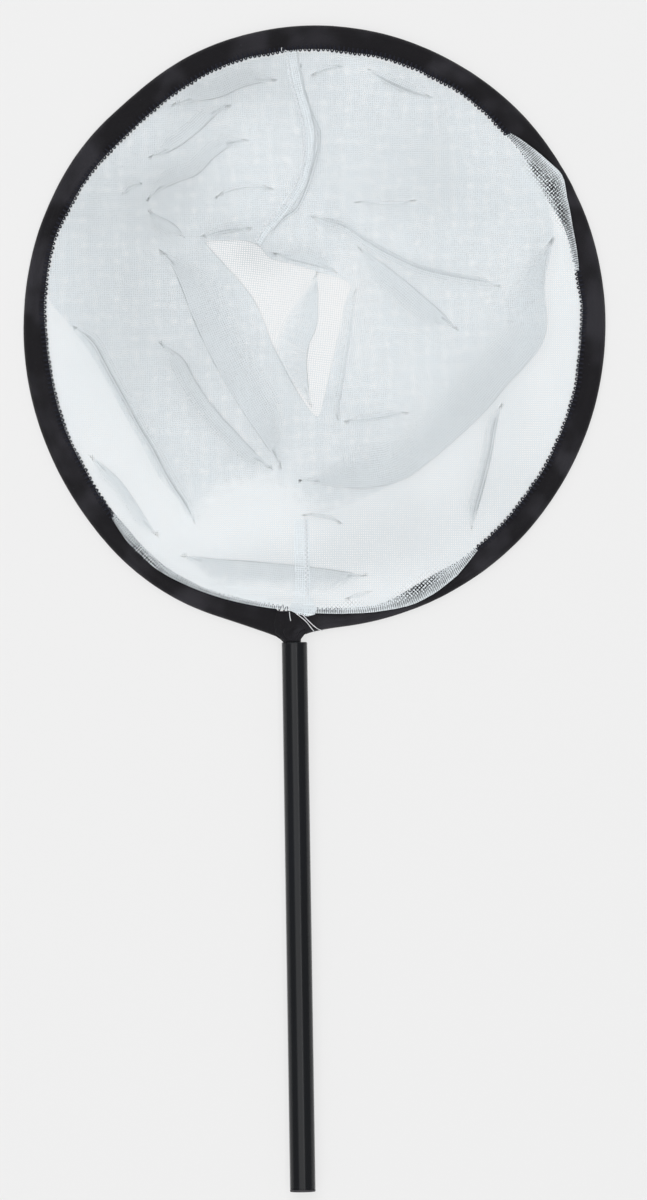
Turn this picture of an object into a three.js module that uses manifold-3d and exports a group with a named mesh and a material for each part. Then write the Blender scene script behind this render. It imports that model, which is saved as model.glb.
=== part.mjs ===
// A scoop net lying flat: a round wire hoop in a black cloth hem, a folded white net bag sewn to it,
// and a black tube handle that the two wire legs of the hoop are pushed into.
// Millimetres, +Z up. The handle runs along Y, the hoop is at its +Y end, and Z = 0 is the floor.

import * as THREE from 'three';
import { mergeVertices } from 'three/addons/utils/BufferGeometryUtils.js';
import Module from 'manifold-3d';

const wasm = await Module();
wasm.setup();

// Clearance between pieces that lie against each other
const CLEARANCE = 0.3;

// Hoop outline, as the outside of the hem: a slightly oval ring with one bulge and one flat stretch
const HOOP_RADIUS = 147.95;
const OVAL = 2.5;
const OVAL_ANGLE = 86;
const BULGE = 3.2;
const BULGE_ANGLE = 242;
const BULGE_SPREAD = 21;
const FLAT = 1.6;
const FLAT_ANGLE = 128;
const FLAT_SPREAD = 11;

// Wire of the hoop and its two legs
const WIRE_DIAMETER = 3;
const LEG_GAP = 0.3;
const LEG_LENGTH = 60;
const RIGHT_BEND_ANGLE = 275;
const LEFT_BEND_ANGLE = 250;
const RIGHT_BEND_REACH = 14;
const LEFT_BEND_REACH = 31;
const RIGHT_LEG_REACH = 5;
const LEFT_LEG_REACH = 2;

// Black cloth hem round the wire
const HEM_CLOTH = 0.7;
const HEM_WIDTH = 11.7;
const RIGHT_HEM_END = 0.62;
const LEFT_HEM_END = 0.6;

// Stretches where the hem is rolled in and looks narrower
const HEM_ROLLS = [
  { angle: 162, depth: 3, spread: 14 },
  { angle: 236, depth: 2, spread: 12 },
  { angle: 285, depth: 5, spread: 14 },
];

// Overlock stitching along the inner edge of the hem
const STITCH_ON_HEM = 1.2;
const STITCH_ON_NET = 0.8;
const STITCH_THICKNESS = 0.35;

// Black cloth gathered round the legs at the mouth of the handle
const NECK_LENGTH = 6.6;
const NECK_WIDTH = 9.5;
const NECK_HEIGHT = 8.4;
const NECK_FLARE = 4.5;
const NECK_TOP_WIDTH = 8;
const NECK_TOP_HEIGHT = 3.2;
// 1 is an oval section and 0 a square one
const NECK_SQUARENESS = 0.8;
const TUCK_CLOTH = 0.6;
const TUCK_DEPTH = 8;

// Handle
const TUBE_DIAMETER = 12.7;
const TUBE_WALL = 1;
const HANDLE_LENGTH = 274.25;
const HANDLE_OFFSET = 12.4;
const MOUTH_CHAMFER = 0.4;
const PLUG_DEPTH = 12;
const PLUG_LENGTH = 24;
const BUTT_FLANGE = 1;
const BUTT_SPIGOT = 12;

// Net bag, pressed flat in folds on the floor inside the hoop
const NET_THICKNESS = 0.9;
const RIM_GAP = 0.6;
const FOLD_RISE = 0.8;
const FOLD_FADE = 10;
// Where a fold's top and its foot lie across it, in halves of its width
const FOLD_CREST = 0.5;
const FOLD_FOOT = 1.3;
const SEAM_WIDTH = 5;
const SEAM_THICKNESS = 0.7;
const SEAM_INSET = 3;
const FAR_SEAM_LENGTH = 113;
const NEAR_SEAM_LENGTH = 42;

// Where the line between the two net panels lies, from the far rim to the near one
const SEAM_BENDS = [
  [-10.2, 113.7],
  [0, 96.6],
  [-2.3, 75.6],
  [-13.6, 56.8],
  [-24.4, 37.9],
  [-15, -30],
  [-7, -97.9],
];

// The broad folds of the bag: where each starts and ends, and how wide it is
const FOLDS = [
  { from: [-78, 45], to: [-8, -55], width: 20 },
  { from: [3, -57], to: [112, 32], width: 20 },
  { from: [-10, 46], to: [98, 14], width: 16 },
  { from: [-122, 0], to: [-62, -96], width: 12 },
  { from: [88, -34], to: [58, -100], width: 14 },
  { from: [-96, -92], to: [-24, -120], width: 14 },
];

// How far a cutter runs past what it cuts
const CUT_OVERRUN = 1;

// Mesh steps, with the least share of a stretch of the wire's path that one may be
const RING_STEPS = 56;
const BEND_STEPS = 7;
const LEAST_STEP = 0.02;
const HEM_ARC_STEPS = 8;
const WIRE_SIDES = 8;
const TUBE_SIDES = 32;
const NECK_SIDES = 20;
const NECK_STEPS = 8;
const NET_ROWS = 40;
const NET_COLUMNS = 12;

// Sizes worked out from those above
const wireRadius = WIRE_DIAMETER / 2;
const tunnelRadius = wireRadius + CLEARANCE;
const casingRadius = tunnelRadius + HEM_CLOTH;
const tubeRadius = TUBE_DIAMETER / 2;
const boreRadius = tubeRadius - TUBE_WALL;
const plugRadius = boreRadius - CLEARANCE;
const axisX = -HANDLE_OFFSET;
const axisZ = tubeRadius;
const mouthY = -(hoopRadius(270) + NECK_LENGTH);
const buttY = mouthY - HANDLE_LENGTH;

// The legs lie side by side against the left side of the bore, with the tucked cloth round them
const legSpacing = WIRE_DIAMETER + LEG_GAP;
const tuckHalfWidth = legSpacing / 2 + tunnelRadius + TUCK_CLOTH;
const tuckHalfHeight = tunnelRadius + TUCK_CLOTH;
const legsX = axisX - (plugRadius - tuckHalfWidth);
const leftLegX = legsX - legSpacing / 2;
const rightLegX = legsX + legSpacing / 2;
const legTopY = mouthY + CLEARANCE + wireRadius;

function radians(angle) {
  return (angle * Math.PI) / 180;
}

function angleBetween(a, b) {
  return ((a - b + 540) % 360) - 180;
}

function swell(angle, centre, spread) {
  return Math.exp(-((angleBetween(angle, centre) / spread) ** 2));
}

function hoopRadius(angle) {
  const oval = OVAL * Math.cos(2 * radians(angle - OVAL_ANGLE));
  const bulge = BULGE * swell(angle, BULGE_ANGLE, BULGE_SPREAD);
  const flat = FLAT * swell(angle, FLAT_ANGLE, FLAT_SPREAD);
  return HOOP_RADIUS + oval + bulge - flat;
}

function hemWidth(angle) {
  const rolledIn = HEM_ROLLS.map((roll) => roll.depth * swell(angle, roll.angle, roll.spread));
  return rolledIn.reduce((width, depth) => width - depth, HEM_WIDTH);
}

function hemInnerRadius(angle) {
  return hoopRadius(angle) - hemWidth(angle);
}

function polar(angle, radius, z = 0) {
  const a = radians(angle);
  return new THREE.Vector3(radius * Math.cos(a), radius * Math.sin(a), z);
}

function angleOf(point) {
  return (THREE.MathUtils.radToDeg(Math.atan2(point.y, point.x)) + 360) % 360;
}

// Solids

function toSolid(geometry) {
  const bare = geometry.clone();
  bare.deleteAttribute('normal');
  bare.deleteAttribute('uv');
  const merged = mergeVertices(bare);
  return new wasm.Manifold(
    new wasm.Mesh({
      numProp: 3,
      vertProperties: new Float32Array(merged.attributes.position.array),
      triVerts: new Uint32Array(merged.index.array),
    }),
  );
}

function toGeometry(solid) {
  const mesh = solid.getMesh();
  const geometry = new THREE.BufferGeometry();
  geometry.setAttribute('position', new THREE.BufferAttribute(mesh.vertProperties, 3));
  geometry.setIndex(new THREE.BufferAttribute(mesh.triVerts, 1));
  return geometry;
}

function largestBody(solid) {
  const bodies = solid.decompose();
  return bodies.reduce((a, b) => (b.volume() > a.volume() ? b : a));
}

function signedVolume(points, triangles) {
  let total = 0;
  for (const [a, b, c] of triangles) {
    total += points[a].dot(new THREE.Vector3().crossVectors(points[b], points[c]));
  }
  return total / 6;
}

function closedBody(points, triangles) {
  const outward = signedVolume(points, triangles) > 0;
  const faces = outward ? triangles : triangles.map(([a, b, c]) => [a, c, b]);
  const geometry = new THREE.BufferGeometry().setFromPoints(points);
  geometry.setIndex(faces.flat());
  return geometry;
}

// A closed skin through rings that all have the same number of points, with a flat face at each end.
// outline is the ring's shape in its own plane, for the end faces.
function skin(rings, outline) {
  const count = rings[0].length;
  const points = rings.flat();
  const triangles = [];
  for (let i = 0; i + 1 < rings.length; i++) {
    for (let j = 0; j < count; j++) {
      const a = i * count + j;
      const b = i * count + ((j + 1) % count);
      triangles.push([a, b, b + count], [a, b + count, a + count]);
    }
  }
  const last = (rings.length - 1) * count;
  for (const [a, b, c] of THREE.ShapeUtils.triangulateShape(outline, [])) {
    triangles.push([a, c, b], [last + a, last + b, last + c]);
  }
  return closedBody(points, triangles);
}

function circleOutline(radius, sides) {
  const outline = [];
  for (let k = 0; k < sides; k++) {
    const a = ((k + 0.5) * 2 * Math.PI) / sides;
    outline.push(new THREE.Vector2(radius * Math.cos(a), radius * Math.sin(a)));
  }
  return outline;
}

// Path of the wire. s runs 0 to 1 along the right bend, 1 to 2 round the ring and 2 to 3 along the
// left bend, and n points to the inside of the hoop.

function ringPoint(angle) {
  return polar(angle, hoopRadius(angle) - casingRadius, casingRadius);
}

function ringDirection(angle) {
  return ringPoint(angle + 0.5).sub(ringPoint(angle - 0.5)).normalize();
}

const rightBend = new THREE.CubicBezierCurve3(
  new THREE.Vector3(rightLegX, legTopY, axisZ),
  new THREE.Vector3(rightLegX, legTopY + RIGHT_LEG_REACH, axisZ),
  ringPoint(RIGHT_BEND_ANGLE).addScaledVector(ringDirection(RIGHT_BEND_ANGLE), -RIGHT_BEND_REACH),
  ringPoint(RIGHT_BEND_ANGLE),
);

const leftBend = new THREE.CubicBezierCurve3(
  ringPoint(LEFT_BEND_ANGLE),
  ringPoint(LEFT_BEND_ANGLE).addScaledVector(ringDirection(LEFT_BEND_ANGLE), LEFT_BEND_REACH),
  new THREE.Vector3(leftLegX, legTopY + LEFT_LEG_REACH, axisZ),
  new THREE.Vector3(leftLegX, legTopY, axisZ),
);

function pathFrame(s) {
  let p;
  let t;
  if (s <= 1) {
    p = rightBend.getPoint(s);
    t = rightBend.getTangent(s);
  } else if (s >= 2) {
    p = leftBend.getPoint(s - 2);
    t = leftBend.getTangent(s - 2);
  } else {
    const angle = RIGHT_BEND_ANGLE + (s - 1) * (LEFT_BEND_ANGLE + 360 - RIGHT_BEND_ANGLE);
    p = ringPoint(angle);
    t = ringDirection(angle);
  }
  const n = new THREE.Vector3(-t.y, t.x, 0).normalize();
  const up = new THREE.Vector3().crossVectors(t, n);
  return { p, t, n, up };
}

function slid(frame, distance) {
  return { ...frame, p: frame.p.clone().addScaledVector(frame.t, distance) };
}

function ringAt(frame, outline) {
  const { p, n, up } = frame;
  return outline.map((q) => p.clone().addScaledVector(n, q.x).addScaledVector(up, q.y));
}

function pathSteps(from, to) {
  const steps = [];
  for (let i = 0; i <= BEND_STEPS; i++) steps.push(i / BEND_STEPS);
  for (let i = 1; i < RING_STEPS; i++) steps.push(1 + i / RING_STEPS);
  for (let i = 0; i <= BEND_STEPS; i++) steps.push(2 + i / BEND_STEPS);
  const inside = steps.filter((s) => s > from + LEAST_STEP && s < to - LEAST_STEP);
  return [from, ...inside, to];
}

// Wire of the hoop with both legs, thickened by grow where it is used as a cutter

function wireGeometry(grow = 0) {
  const outline = circleOutline(wireRadius + grow, WIRE_SIDES);
  const legEndY = mouthY - LEG_LENGTH - grow;
  const frames = pathSteps(0, 3).map(pathFrame);
  const start = pathFrame(0);
  const end = pathFrame(3);
  start.p.y = legEndY;
  end.p.y = legEndY;
  const rings = [start, ...frames, end].map((frame) => ringAt(frame, outline));
  return skin(rings, outline);
}

// Hem: round over the wire, then a flat double layer towards the net

const tailHalf = HEM_CLOTH;
const tailHeight = CLEARANCE + tailHalf;
const hemStart = 1 - RIGHT_HEM_END;
const hemEnd = 2 + LEFT_HEM_END;

// Height of the hem's top at a distance inwards from its inner edge's own line
function hemTopAbove(edgeDistance, width) {
  const slopeLength = width - casingRadius;
  const rise = 2 * casingRadius - (tailHeight + tailHalf);
  return tailHeight + tailHalf + (rise * edgeDistance) / slopeLength;
}

function hemOutline(width, grow) {
  const outline = [];
  const round = casingRadius + grow;
  for (let k = 0; k <= HEM_ARC_STEPS; k++) {
    const a = Math.PI / 2 + (k * Math.PI) / HEM_ARC_STEPS;
    outline.push(new THREE.Vector2(round * Math.cos(a), round * Math.sin(a)));
  }
  const tip = width - casingRadius + grow;
  const low = tailHeight - tailHalf - casingRadius - grow;
  const high = tailHeight + tailHalf - casingRadius + grow;
  outline.push(new THREE.Vector2(tip, low), new THREE.Vector2(tip, high));
  return outline;
}

function hemWidthAt(frame) {
  const outer = frame.p.clone().addScaledVector(frame.n, -casingRadius);
  return Math.hypot(outer.x, outer.y) - hemInnerRadius(angleOf(outer));
}

function hemBody(grow) {
  const frames = pathSteps(hemStart, hemEnd).map(pathFrame);
  frames[0] = slid(frames[0], -grow);
  frames[frames.length - 1] = slid(frames[frames.length - 1], grow);
  const outlines = frames.map((frame) => hemOutline(hemWidthAt(frame), grow));
  const rings = frames.map((frame, i) => ringAt(frame, outlines[i]));
  return skin(rings, outlines[0]);
}

function tunnelBody() {
  const outline = circleOutline(tunnelRadius, WIRE_SIDES);
  const frames = pathSteps(hemStart, hemEnd).map(pathFrame);
  const before = slid(frames[0], -CUT_OVERRUN);
  const after = slid(frames[frames.length - 1], CUT_OVERRUN);
  const rings = [before, ...frames, after].map((frame) => ringAt(frame, outline));
  return skin(rings, outline);
}

function hemGeometry() {
  return toGeometry(toSolid(hemBody(0)).subtract(toSolid(tunnelBody())));
}

// Stitching: a flat band over the joint between the hem and the net

function stitchingGeometry() {
  const frames = pathSteps(hemStart, hemEnd).map(pathFrame);
  const outlines = frames.map((frame) => {
    const width = hemWidthAt(frame);
    const edge = width - casingRadius;
    const tip = hemTopAbove(0, width) + CLEARANCE - casingRadius;
    const back = hemTopAbove(STITCH_ON_HEM, width) + CLEARANCE - casingRadius;
    return [
      new THREE.Vector2(edge - STITCH_ON_HEM, back),
      new THREE.Vector2(edge, tip),
      new THREE.Vector2(edge + STITCH_ON_NET, tip),
      new THREE.Vector2(edge + STITCH_ON_NET, tip + STITCH_THICKNESS),
      new THREE.Vector2(edge, tip + STITCH_THICKNESS),
      new THREE.Vector2(edge - STITCH_ON_HEM, back + STITCH_THICKNESS),
    ];
  });
  const rings = frames.map((frame, i) => ringAt(frame, outlines[i]));
  return skin(rings, outlines[0]);
}

// Net panels: a thin folded sheet on each side of the seam line

function netRim(angle) {
  return hemInnerRadius(angle) - RIM_GAP;
}

const farSeamAngle = angleOf(new THREE.Vector3(...SEAM_BENDS[0], 0));
const nearSeamAngle = angleOf(new THREE.Vector3(...SEAM_BENDS[SEAM_BENDS.length - 1], 0));

const seamLine = new THREE.CatmullRomCurve3([
  polar(farSeamAngle, netRim(farSeamAngle) - SEAM_INSET),
  ...SEAM_BENDS.map(([x, y]) => new THREE.Vector3(x, y, 0)),
  polar(nearSeamAngle, netRim(nearSeamAngle) - SEAM_INSET),
]);

function seamFrame(share) {
  const p = seamLine.getPointAt(share);
  const t = seamLine.getTangentAt(share);
  const n = new THREE.Vector3(-t.y, t.x, 0).normalize();
  return { p, t, n, up: new THREE.Vector3(0, 0, 1) };
}

function distanceToFold(x, y, fold) {
  const line = new THREE.Line3(new THREE.Vector3(...fold.from, 0), new THREE.Vector3(...fold.to, 0));
  const point = new THREE.Vector3(x, y, 0);
  return line.closestPointToPoint(point, true, new THREE.Vector3()).distanceTo(point);
}

function netTop(x, y) {
  let share = 0;
  for (const fold of FOLDS) {
    const distance = distanceToFold(x, y, fold) / (fold.width / 2);
    share = Math.max(share, 1 - THREE.MathUtils.smoothstep(distance, FOLD_CREST, FOLD_FOOT));
  }
  const fromRim = netRim(angleOf({ x, y })) - Math.hypot(x, y);
  const fade = THREE.MathUtils.smoothstep(fromRim, 0, FOLD_FADE);
  return CLEARANCE + NET_THICKNESS + FOLD_RISE * share * fade;
}

// side is 1 for the left panel and -1 for the right one, seen from above with the handle towards us
function netPanelGeometry(side) {
  const halfGap = CLEARANCE / 2;
  const sweep = side > 0 ? nearSeamAngle - farSeamAngle : nearSeamAngle - 360 - farSeamAngle;
  const inset = THREE.MathUtils.radToDeg(halfGap / HOOP_RADIUS) * side;
  const top = [];
  const bottom = [];
  for (let i = 0; i <= NET_ROWS; i++) {
    const share = i / NET_ROWS;
    const { p, n } = seamFrame(share);
    const seamEdge = p.clone().addScaledVector(n, -side * halfGap);
    const angle = farSeamAngle + inset + (sweep - 2 * inset) * share;
    const rimEdge = polar(angle, netRim(angle));
    for (let j = 0; j <= NET_COLUMNS; j++) {
      const { x, y } = seamEdge.clone().lerp(rimEdge, j / NET_COLUMNS);
      top.push(new THREE.Vector3(x, y, netTop(x, y)));
      bottom.push(new THREE.Vector3(x, y, CLEARANCE));
    }
  }
  const across = NET_COLUMNS + 1;
  const under = top.length;
  const triangles = [];
  for (let i = 0; i < NET_ROWS; i++) {
    for (let j = 0; j < NET_COLUMNS; j++) {
      const a = i * across + j;
      const quad = [a, a + 1, a + 1 + across, a + across];
      triangles.push([quad[0], quad[1], quad[2]], [quad[0], quad[2], quad[3]]);
      triangles.push([quad[0] + under, quad[2] + under, quad[1] + under]);
      triangles.push([quad[0] + under, quad[3] + under, quad[2] + under]);
    }
  }
  const border = [];
  for (let j = 0; j < NET_COLUMNS; j++) border.push(j);
  for (let i = 0; i < NET_ROWS; i++) border.push(i * across + NET_COLUMNS);
  for (let j = NET_COLUMNS; j > 0; j--) border.push(NET_ROWS * across + j);
  for (let i = NET_ROWS; i > 0; i--) border.push(i * across);
  border.forEach((a, k) => {
    const b = border[(k + 1) % border.length];
    triangles.push([b, a, a + under], [b, a + under, b + under]);
  });
  return closedBody([...top, ...bottom], triangles);
}

// Sewn seam strips that lie on the joint of the two panels, from share to share along the seam line

function seamGeometry(from, to) {
  const steps = Math.ceil((Math.abs(to - from) * seamLine.getLength()) / SEAM_WIDTH);
  const half = SEAM_WIDTH / 2;
  const rings = [];
  const outline = [
    new THREE.Vector2(-half, 0),
    new THREE.Vector2(half, 0),
    new THREE.Vector2(half, SEAM_THICKNESS),
    new THREE.Vector2(-half, SEAM_THICKNESS),
  ];
  for (let i = 0; i <= steps; i++) {
    const frame = seamFrame(THREE.MathUtils.lerp(from, to, i / steps));
    const sides = [-half, 0, half].map((d) => frame.p.clone().addScaledVector(frame.n, d));
    frame.p.z = Math.max(...sides.map(({ x, y }) => netTop(x, y))) + CLEARANCE;
    rings.push(ringAt(frame, outline));
  }
  return skin(rings, outline);
}

// Neck: cloth gathered round the legs, from inside the mouth of the tube up to the hem

function neckOutline(halfWidth, halfHeight) {
  const outline = [];
  for (let k = 0; k < NECK_SIDES; k++) {
    const a = (k * 2 * Math.PI) / NECK_SIDES;
    const x = Math.sign(Math.cos(a)) * Math.abs(Math.cos(a)) ** NECK_SQUARENESS;
    const z = Math.sign(Math.sin(a)) * Math.abs(Math.sin(a)) ** NECK_SQUARENESS;
    outline.push(new THREE.Vector2(halfWidth * x, halfHeight * z));
  }
  return outline;
}

function neckRing(y, x, z, halfWidth, halfHeight) {
  return neckOutline(halfWidth, halfHeight).map((q) => new THREE.Vector3(x + q.x, y, z + q.y));
}

function neckGeometry() {
  const { lerp, smoothstep } = THREE.MathUtils;
  const rightEnd = pathFrame(hemStart).p;
  const leftEnd = pathFrame(hemEnd).p;
  const topX = (rightEnd.x + leftEnd.x) / 2;
  const topY = -(netRim(angleOf({ x: topX, y: mouthY })) + CLEARANCE);
  const bottomY = mouthY + CLEARANCE;
  const sideX = legsX + tuckHalfWidth + CLEARANCE / 2 - NECK_WIDTH / 2;
  const rings = [
    neckRing(mouthY - TUCK_DEPTH, legsX, axisZ, tuckHalfWidth, tuckHalfHeight),
    neckRing(bottomY, legsX, axisZ, tuckHalfWidth, tuckHalfHeight),
  ];
  for (let i = 0; i <= NECK_STEPS; i++) {
    const share = i / NECK_STEPS;
    const ease = smoothstep(share, 0, 1);
    const halfWidth = lerp(NECK_WIDTH, NECK_TOP_WIDTH, ease) / 2;
    const flare = NECK_FLARE * Math.sin(Math.PI * share) ** 2;
    const halfHeight = lerp(NECK_HEIGHT, NECK_TOP_HEIGHT, ease) / 2;
    const z = lerp(axisZ, NECK_TOP_HEIGHT / 2, ease);
    const x = lerp(sideX, topX, ease);
    const y = lerp(bottomY, topY, share);
    rings.push(neckRing(y, x, z, halfWidth + flare, halfHeight));
  }
  const body = toSolid(skin(rings, neckOutline(1, 1)));
  const cut = body.subtract(toSolid(hemBody(CLEARANCE))).subtract(toSolid(wireGeometry(CLEARANCE)));
  return toGeometry(largestBody(cut));
}

// Handle tube, its butt plug and the plug that holds the legs

function turned(profile) {
  const points = profile.map(([radius, y]) => new THREE.Vector2(radius, y));
  return new THREE.LatheGeometry(points, TUBE_SIDES);
}

function tubeGeometry() {
  const low = buttY + BUTT_FLANGE + CLEARANCE;
  return turned([
    [boreRadius, low],
    [tubeRadius, low],
    [tubeRadius, mouthY - MOUTH_CHAMFER],
    [tubeRadius - MOUTH_CHAMFER, mouthY],
    [boreRadius, mouthY],
    [boreRadius, low],
  ]);
}

function buttPlugGeometry() {
  return turned([
    [0, buttY],
    [tubeRadius, buttY],
    [tubeRadius, buttY + BUTT_FLANGE],
    [plugRadius, buttY + BUTT_FLANGE],
    [plugRadius, buttY + BUTT_FLANGE + BUTT_SPIGOT],
    [0, buttY + BUTT_FLANGE + BUTT_SPIGOT],
  ]);
}

function legPlugGeometry() {
  const centreY = mouthY - PLUG_DEPTH - PLUG_LENGTH / 2;
  const body = new THREE.CylinderGeometry(plugRadius, plugRadius, PLUG_LENGTH, TUBE_SIDES);
  let solid = toSolid(body.translate(0, centreY, 0));
  for (const x of [leftLegX - axisX, rightLegX - axisX]) {
    const holeLength = PLUG_LENGTH + 2 * CUT_OVERRUN;
    const hole = new THREE.CylinderGeometry(tunnelRadius, tunnelRadius, holeLength, TUBE_SIDES);
    solid = solid.subtract(toSolid(hole.translate(x, centreY, 0)));
  }
  return toGeometry(solid);
}

// Assembly

function cloth(colour) {
  return new THREE.MeshStandardMaterial({ color: colour, roughness: 0.9, metalness: 0 });
}

function piece(name, geometry, material) {
  geometry.computeVertexNormals();
  const mesh = new THREE.Mesh(geometry, material);
  mesh.name = name;
  return mesh;
}

const blackCloth = 0x17171a;
const navyThread = 0x141a2b;
const whiteNet = 0xdfe6ea;

const head = new THREE.Group();
const steel = new THREE.MeshStandardMaterial({ color: 0x9a9c9e, roughness: 0.35, metalness: 1 });
const farSeamStart = SEAM_INSET / seamLine.getLength();
head.add(
  piece('hoop_wire', wireGeometry(), steel),
  piece('hem_casing', hemGeometry(), cloth(blackCloth)),
  piece('hem_stitching', stitchingGeometry(), cloth(navyThread)),
  piece('neck_cover', neckGeometry(), cloth(blackCloth)),
  piece('net_left', netPanelGeometry(1), cloth(whiteNet)),
  piece('net_right', netPanelGeometry(-1), cloth(whiteNet)),
  piece('net_seam_far', seamGeometry(farSeamStart, FAR_SEAM_LENGTH / seamLine.getLength()), cloth(whiteNet)),
  piece('net_seam_near', seamGeometry(1 - NEAR_SEAM_LENGTH / seamLine.getLength(), 1), cloth(whiteNet)),
);

const handle = new THREE.Group();
handle.position.set(axisX, 0, axisZ);
const paint = new THREE.MeshStandardMaterial({ color: 0x1c1e22, roughness: 0.35, metalness: 0.2 });
const plastic = new THREE.MeshStandardMaterial({ color: 0x121214, roughness: 0.6, metalness: 0 });
handle.add(
  piece('handle_tube', tubeGeometry(), paint),
  piece('butt_plug', buttPlugGeometry(), plastic),
  piece('leg_plug', legPlugGeometry(), plastic),
);

// The origin is on the floor under the middle of the whole net
const scoopNet = new THREE.Group();
scoopNet.add(head, handle);
const extent = new THREE.Box3().setFromObject(scoopNet, true);
const centre = extent.getCenter(new THREE.Vector3());
scoopNet.position.set(-centre.x, -centre.y, -extent.min.z);

export default scoopNet;
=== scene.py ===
import math

import bmesh
import bpy
import numpy as np
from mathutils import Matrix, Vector, geometry


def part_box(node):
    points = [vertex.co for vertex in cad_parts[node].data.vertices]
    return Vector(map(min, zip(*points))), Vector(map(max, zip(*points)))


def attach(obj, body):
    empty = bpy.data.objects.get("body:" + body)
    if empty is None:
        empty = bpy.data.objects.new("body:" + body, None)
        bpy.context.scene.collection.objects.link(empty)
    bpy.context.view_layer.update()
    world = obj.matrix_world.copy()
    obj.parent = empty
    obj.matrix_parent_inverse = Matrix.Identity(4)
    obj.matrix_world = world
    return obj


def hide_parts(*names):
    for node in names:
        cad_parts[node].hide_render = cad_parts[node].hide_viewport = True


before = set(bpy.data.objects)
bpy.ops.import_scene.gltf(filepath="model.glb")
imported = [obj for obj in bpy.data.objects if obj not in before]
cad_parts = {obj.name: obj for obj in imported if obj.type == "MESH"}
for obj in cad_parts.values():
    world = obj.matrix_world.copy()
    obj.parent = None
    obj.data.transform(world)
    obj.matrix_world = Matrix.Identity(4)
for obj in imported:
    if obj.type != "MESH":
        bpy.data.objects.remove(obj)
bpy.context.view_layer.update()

bl_info = {
    "name": "Scoop net",
    "version": (1, 0, 0),
    "blender": (4, 5, 0),
    "location": "3D View > Sidebar > Scoop net",
    "description": "Builds the looks of a hand net with a cloth hem, a folded mesh bag and a tube handle",
    "category": "Object",
}

# Millimetres are used for all shapes, and turned into metres when a mesh is made.
MM = 0.001

# Hoop outline, as the CAD has it: the outside of the hem, about the middle of the hoop
HOOP_RADIUS = 147.95
OVAL, OVAL_ANGLE = 2.5, 86
BULGE, BULGE_ANGLE, BULGE_SPREAD = 3.2, 242, 21
FLAT, FLAT_ANGLE, FLAT_SPREAD = 1.6, 128, 11
HEM_ROLLS = [(162, 3, 14), (236, 2, 12), (285, 5, 14)]
NECK_LENGTH = 6.6
HANDLE_OFFSET = 12.4
WIRE_RADIUS = 1.5
CLEARANCE = 0.3
HEM_CLOTH = 0.7
CASING_RADIUS = WIRE_RADIUS + CLEARANCE + HEM_CLOTH
RIGHT_BEND_ANGLE, LEFT_BEND_ANGLE = 275, 250
RIGHT_BEND_REACH, LEFT_BEND_REACH = 14, 31
RIGHT_LEG_REACH, LEFT_LEG_REACH = 5, 2
HEM_START, HEM_END = 0.38, 2.6
HEM_CLOTH_END = 2.8
HEM_CLOTH_END_WIDTH = 7.0
LEG_SPACING = 3.3
BORE_RADIUS = 5.05
NECK_WALL = 0.6
LEGS_SIDE = BORE_RADIUS - (LEG_SPACING / 2 + WIRE_RADIUS + CLEARANCE + NECK_WALL)

TUBE_LOW, TUBE_HIGH = (np.array(corner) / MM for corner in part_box("handle_tube"))
AXIS_X = (TUBE_LOW[0] + TUBE_HIGH[0]) / 2
AXIS_Z = (TUBE_LOW[2] + TUBE_HIGH[2]) / 2
MOUTH_Y = TUBE_HIGH[1]


def length_setting(name, description, default):
    return bpy.props.FloatProperty(name=name, description=description, default=default, unit="LENGTH")


def colour_setting(name, description, default):
    return bpy.props.FloatVectorProperty(
        name=name, description=description, default=default, size=3, subtype="COLOR"
    )


class Settings(bpy.types.PropertyGroup):
    """Sizes and colours that a user would change"""

    hem_width: length_setting("Hem width", "Width of the black hem round the hoop", 0.0117)
    mesh_pitch: length_setting("Mesh pitch", "Distance from one thread of the net to the next", 0.0011)
    stitch_pitch: length_setting("Stitch pitch", "Distance between two overlock stitches", 0.0023)
    stitch_radius: length_setting("Thread radius", "Radius of the overlock thread", 0.00036)
    net_colour: colour_setting("Net", "Colour of the net's thread", (0.735, 0.785, 0.815))
    cloth_colour: colour_setting("Hem cloth", "Colour of the black cloth", (0.0085, 0.0078, 0.0098))
    thread_colour: colour_setting("Overlock thread", "Colour of its thread", (0.0085, 0.0095, 0.017))
    paint_colour: colour_setting("Handle paint", "Colour of the handle's paint", (0.0075, 0.0083, 0.0098))


# Shader expressions

# Sockets of the Mix node when it mixes colours
MIX_FACTOR, MIX_FIRST, MIX_SECOND, MIX_RESULT = 0, 6, 7, 2


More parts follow.
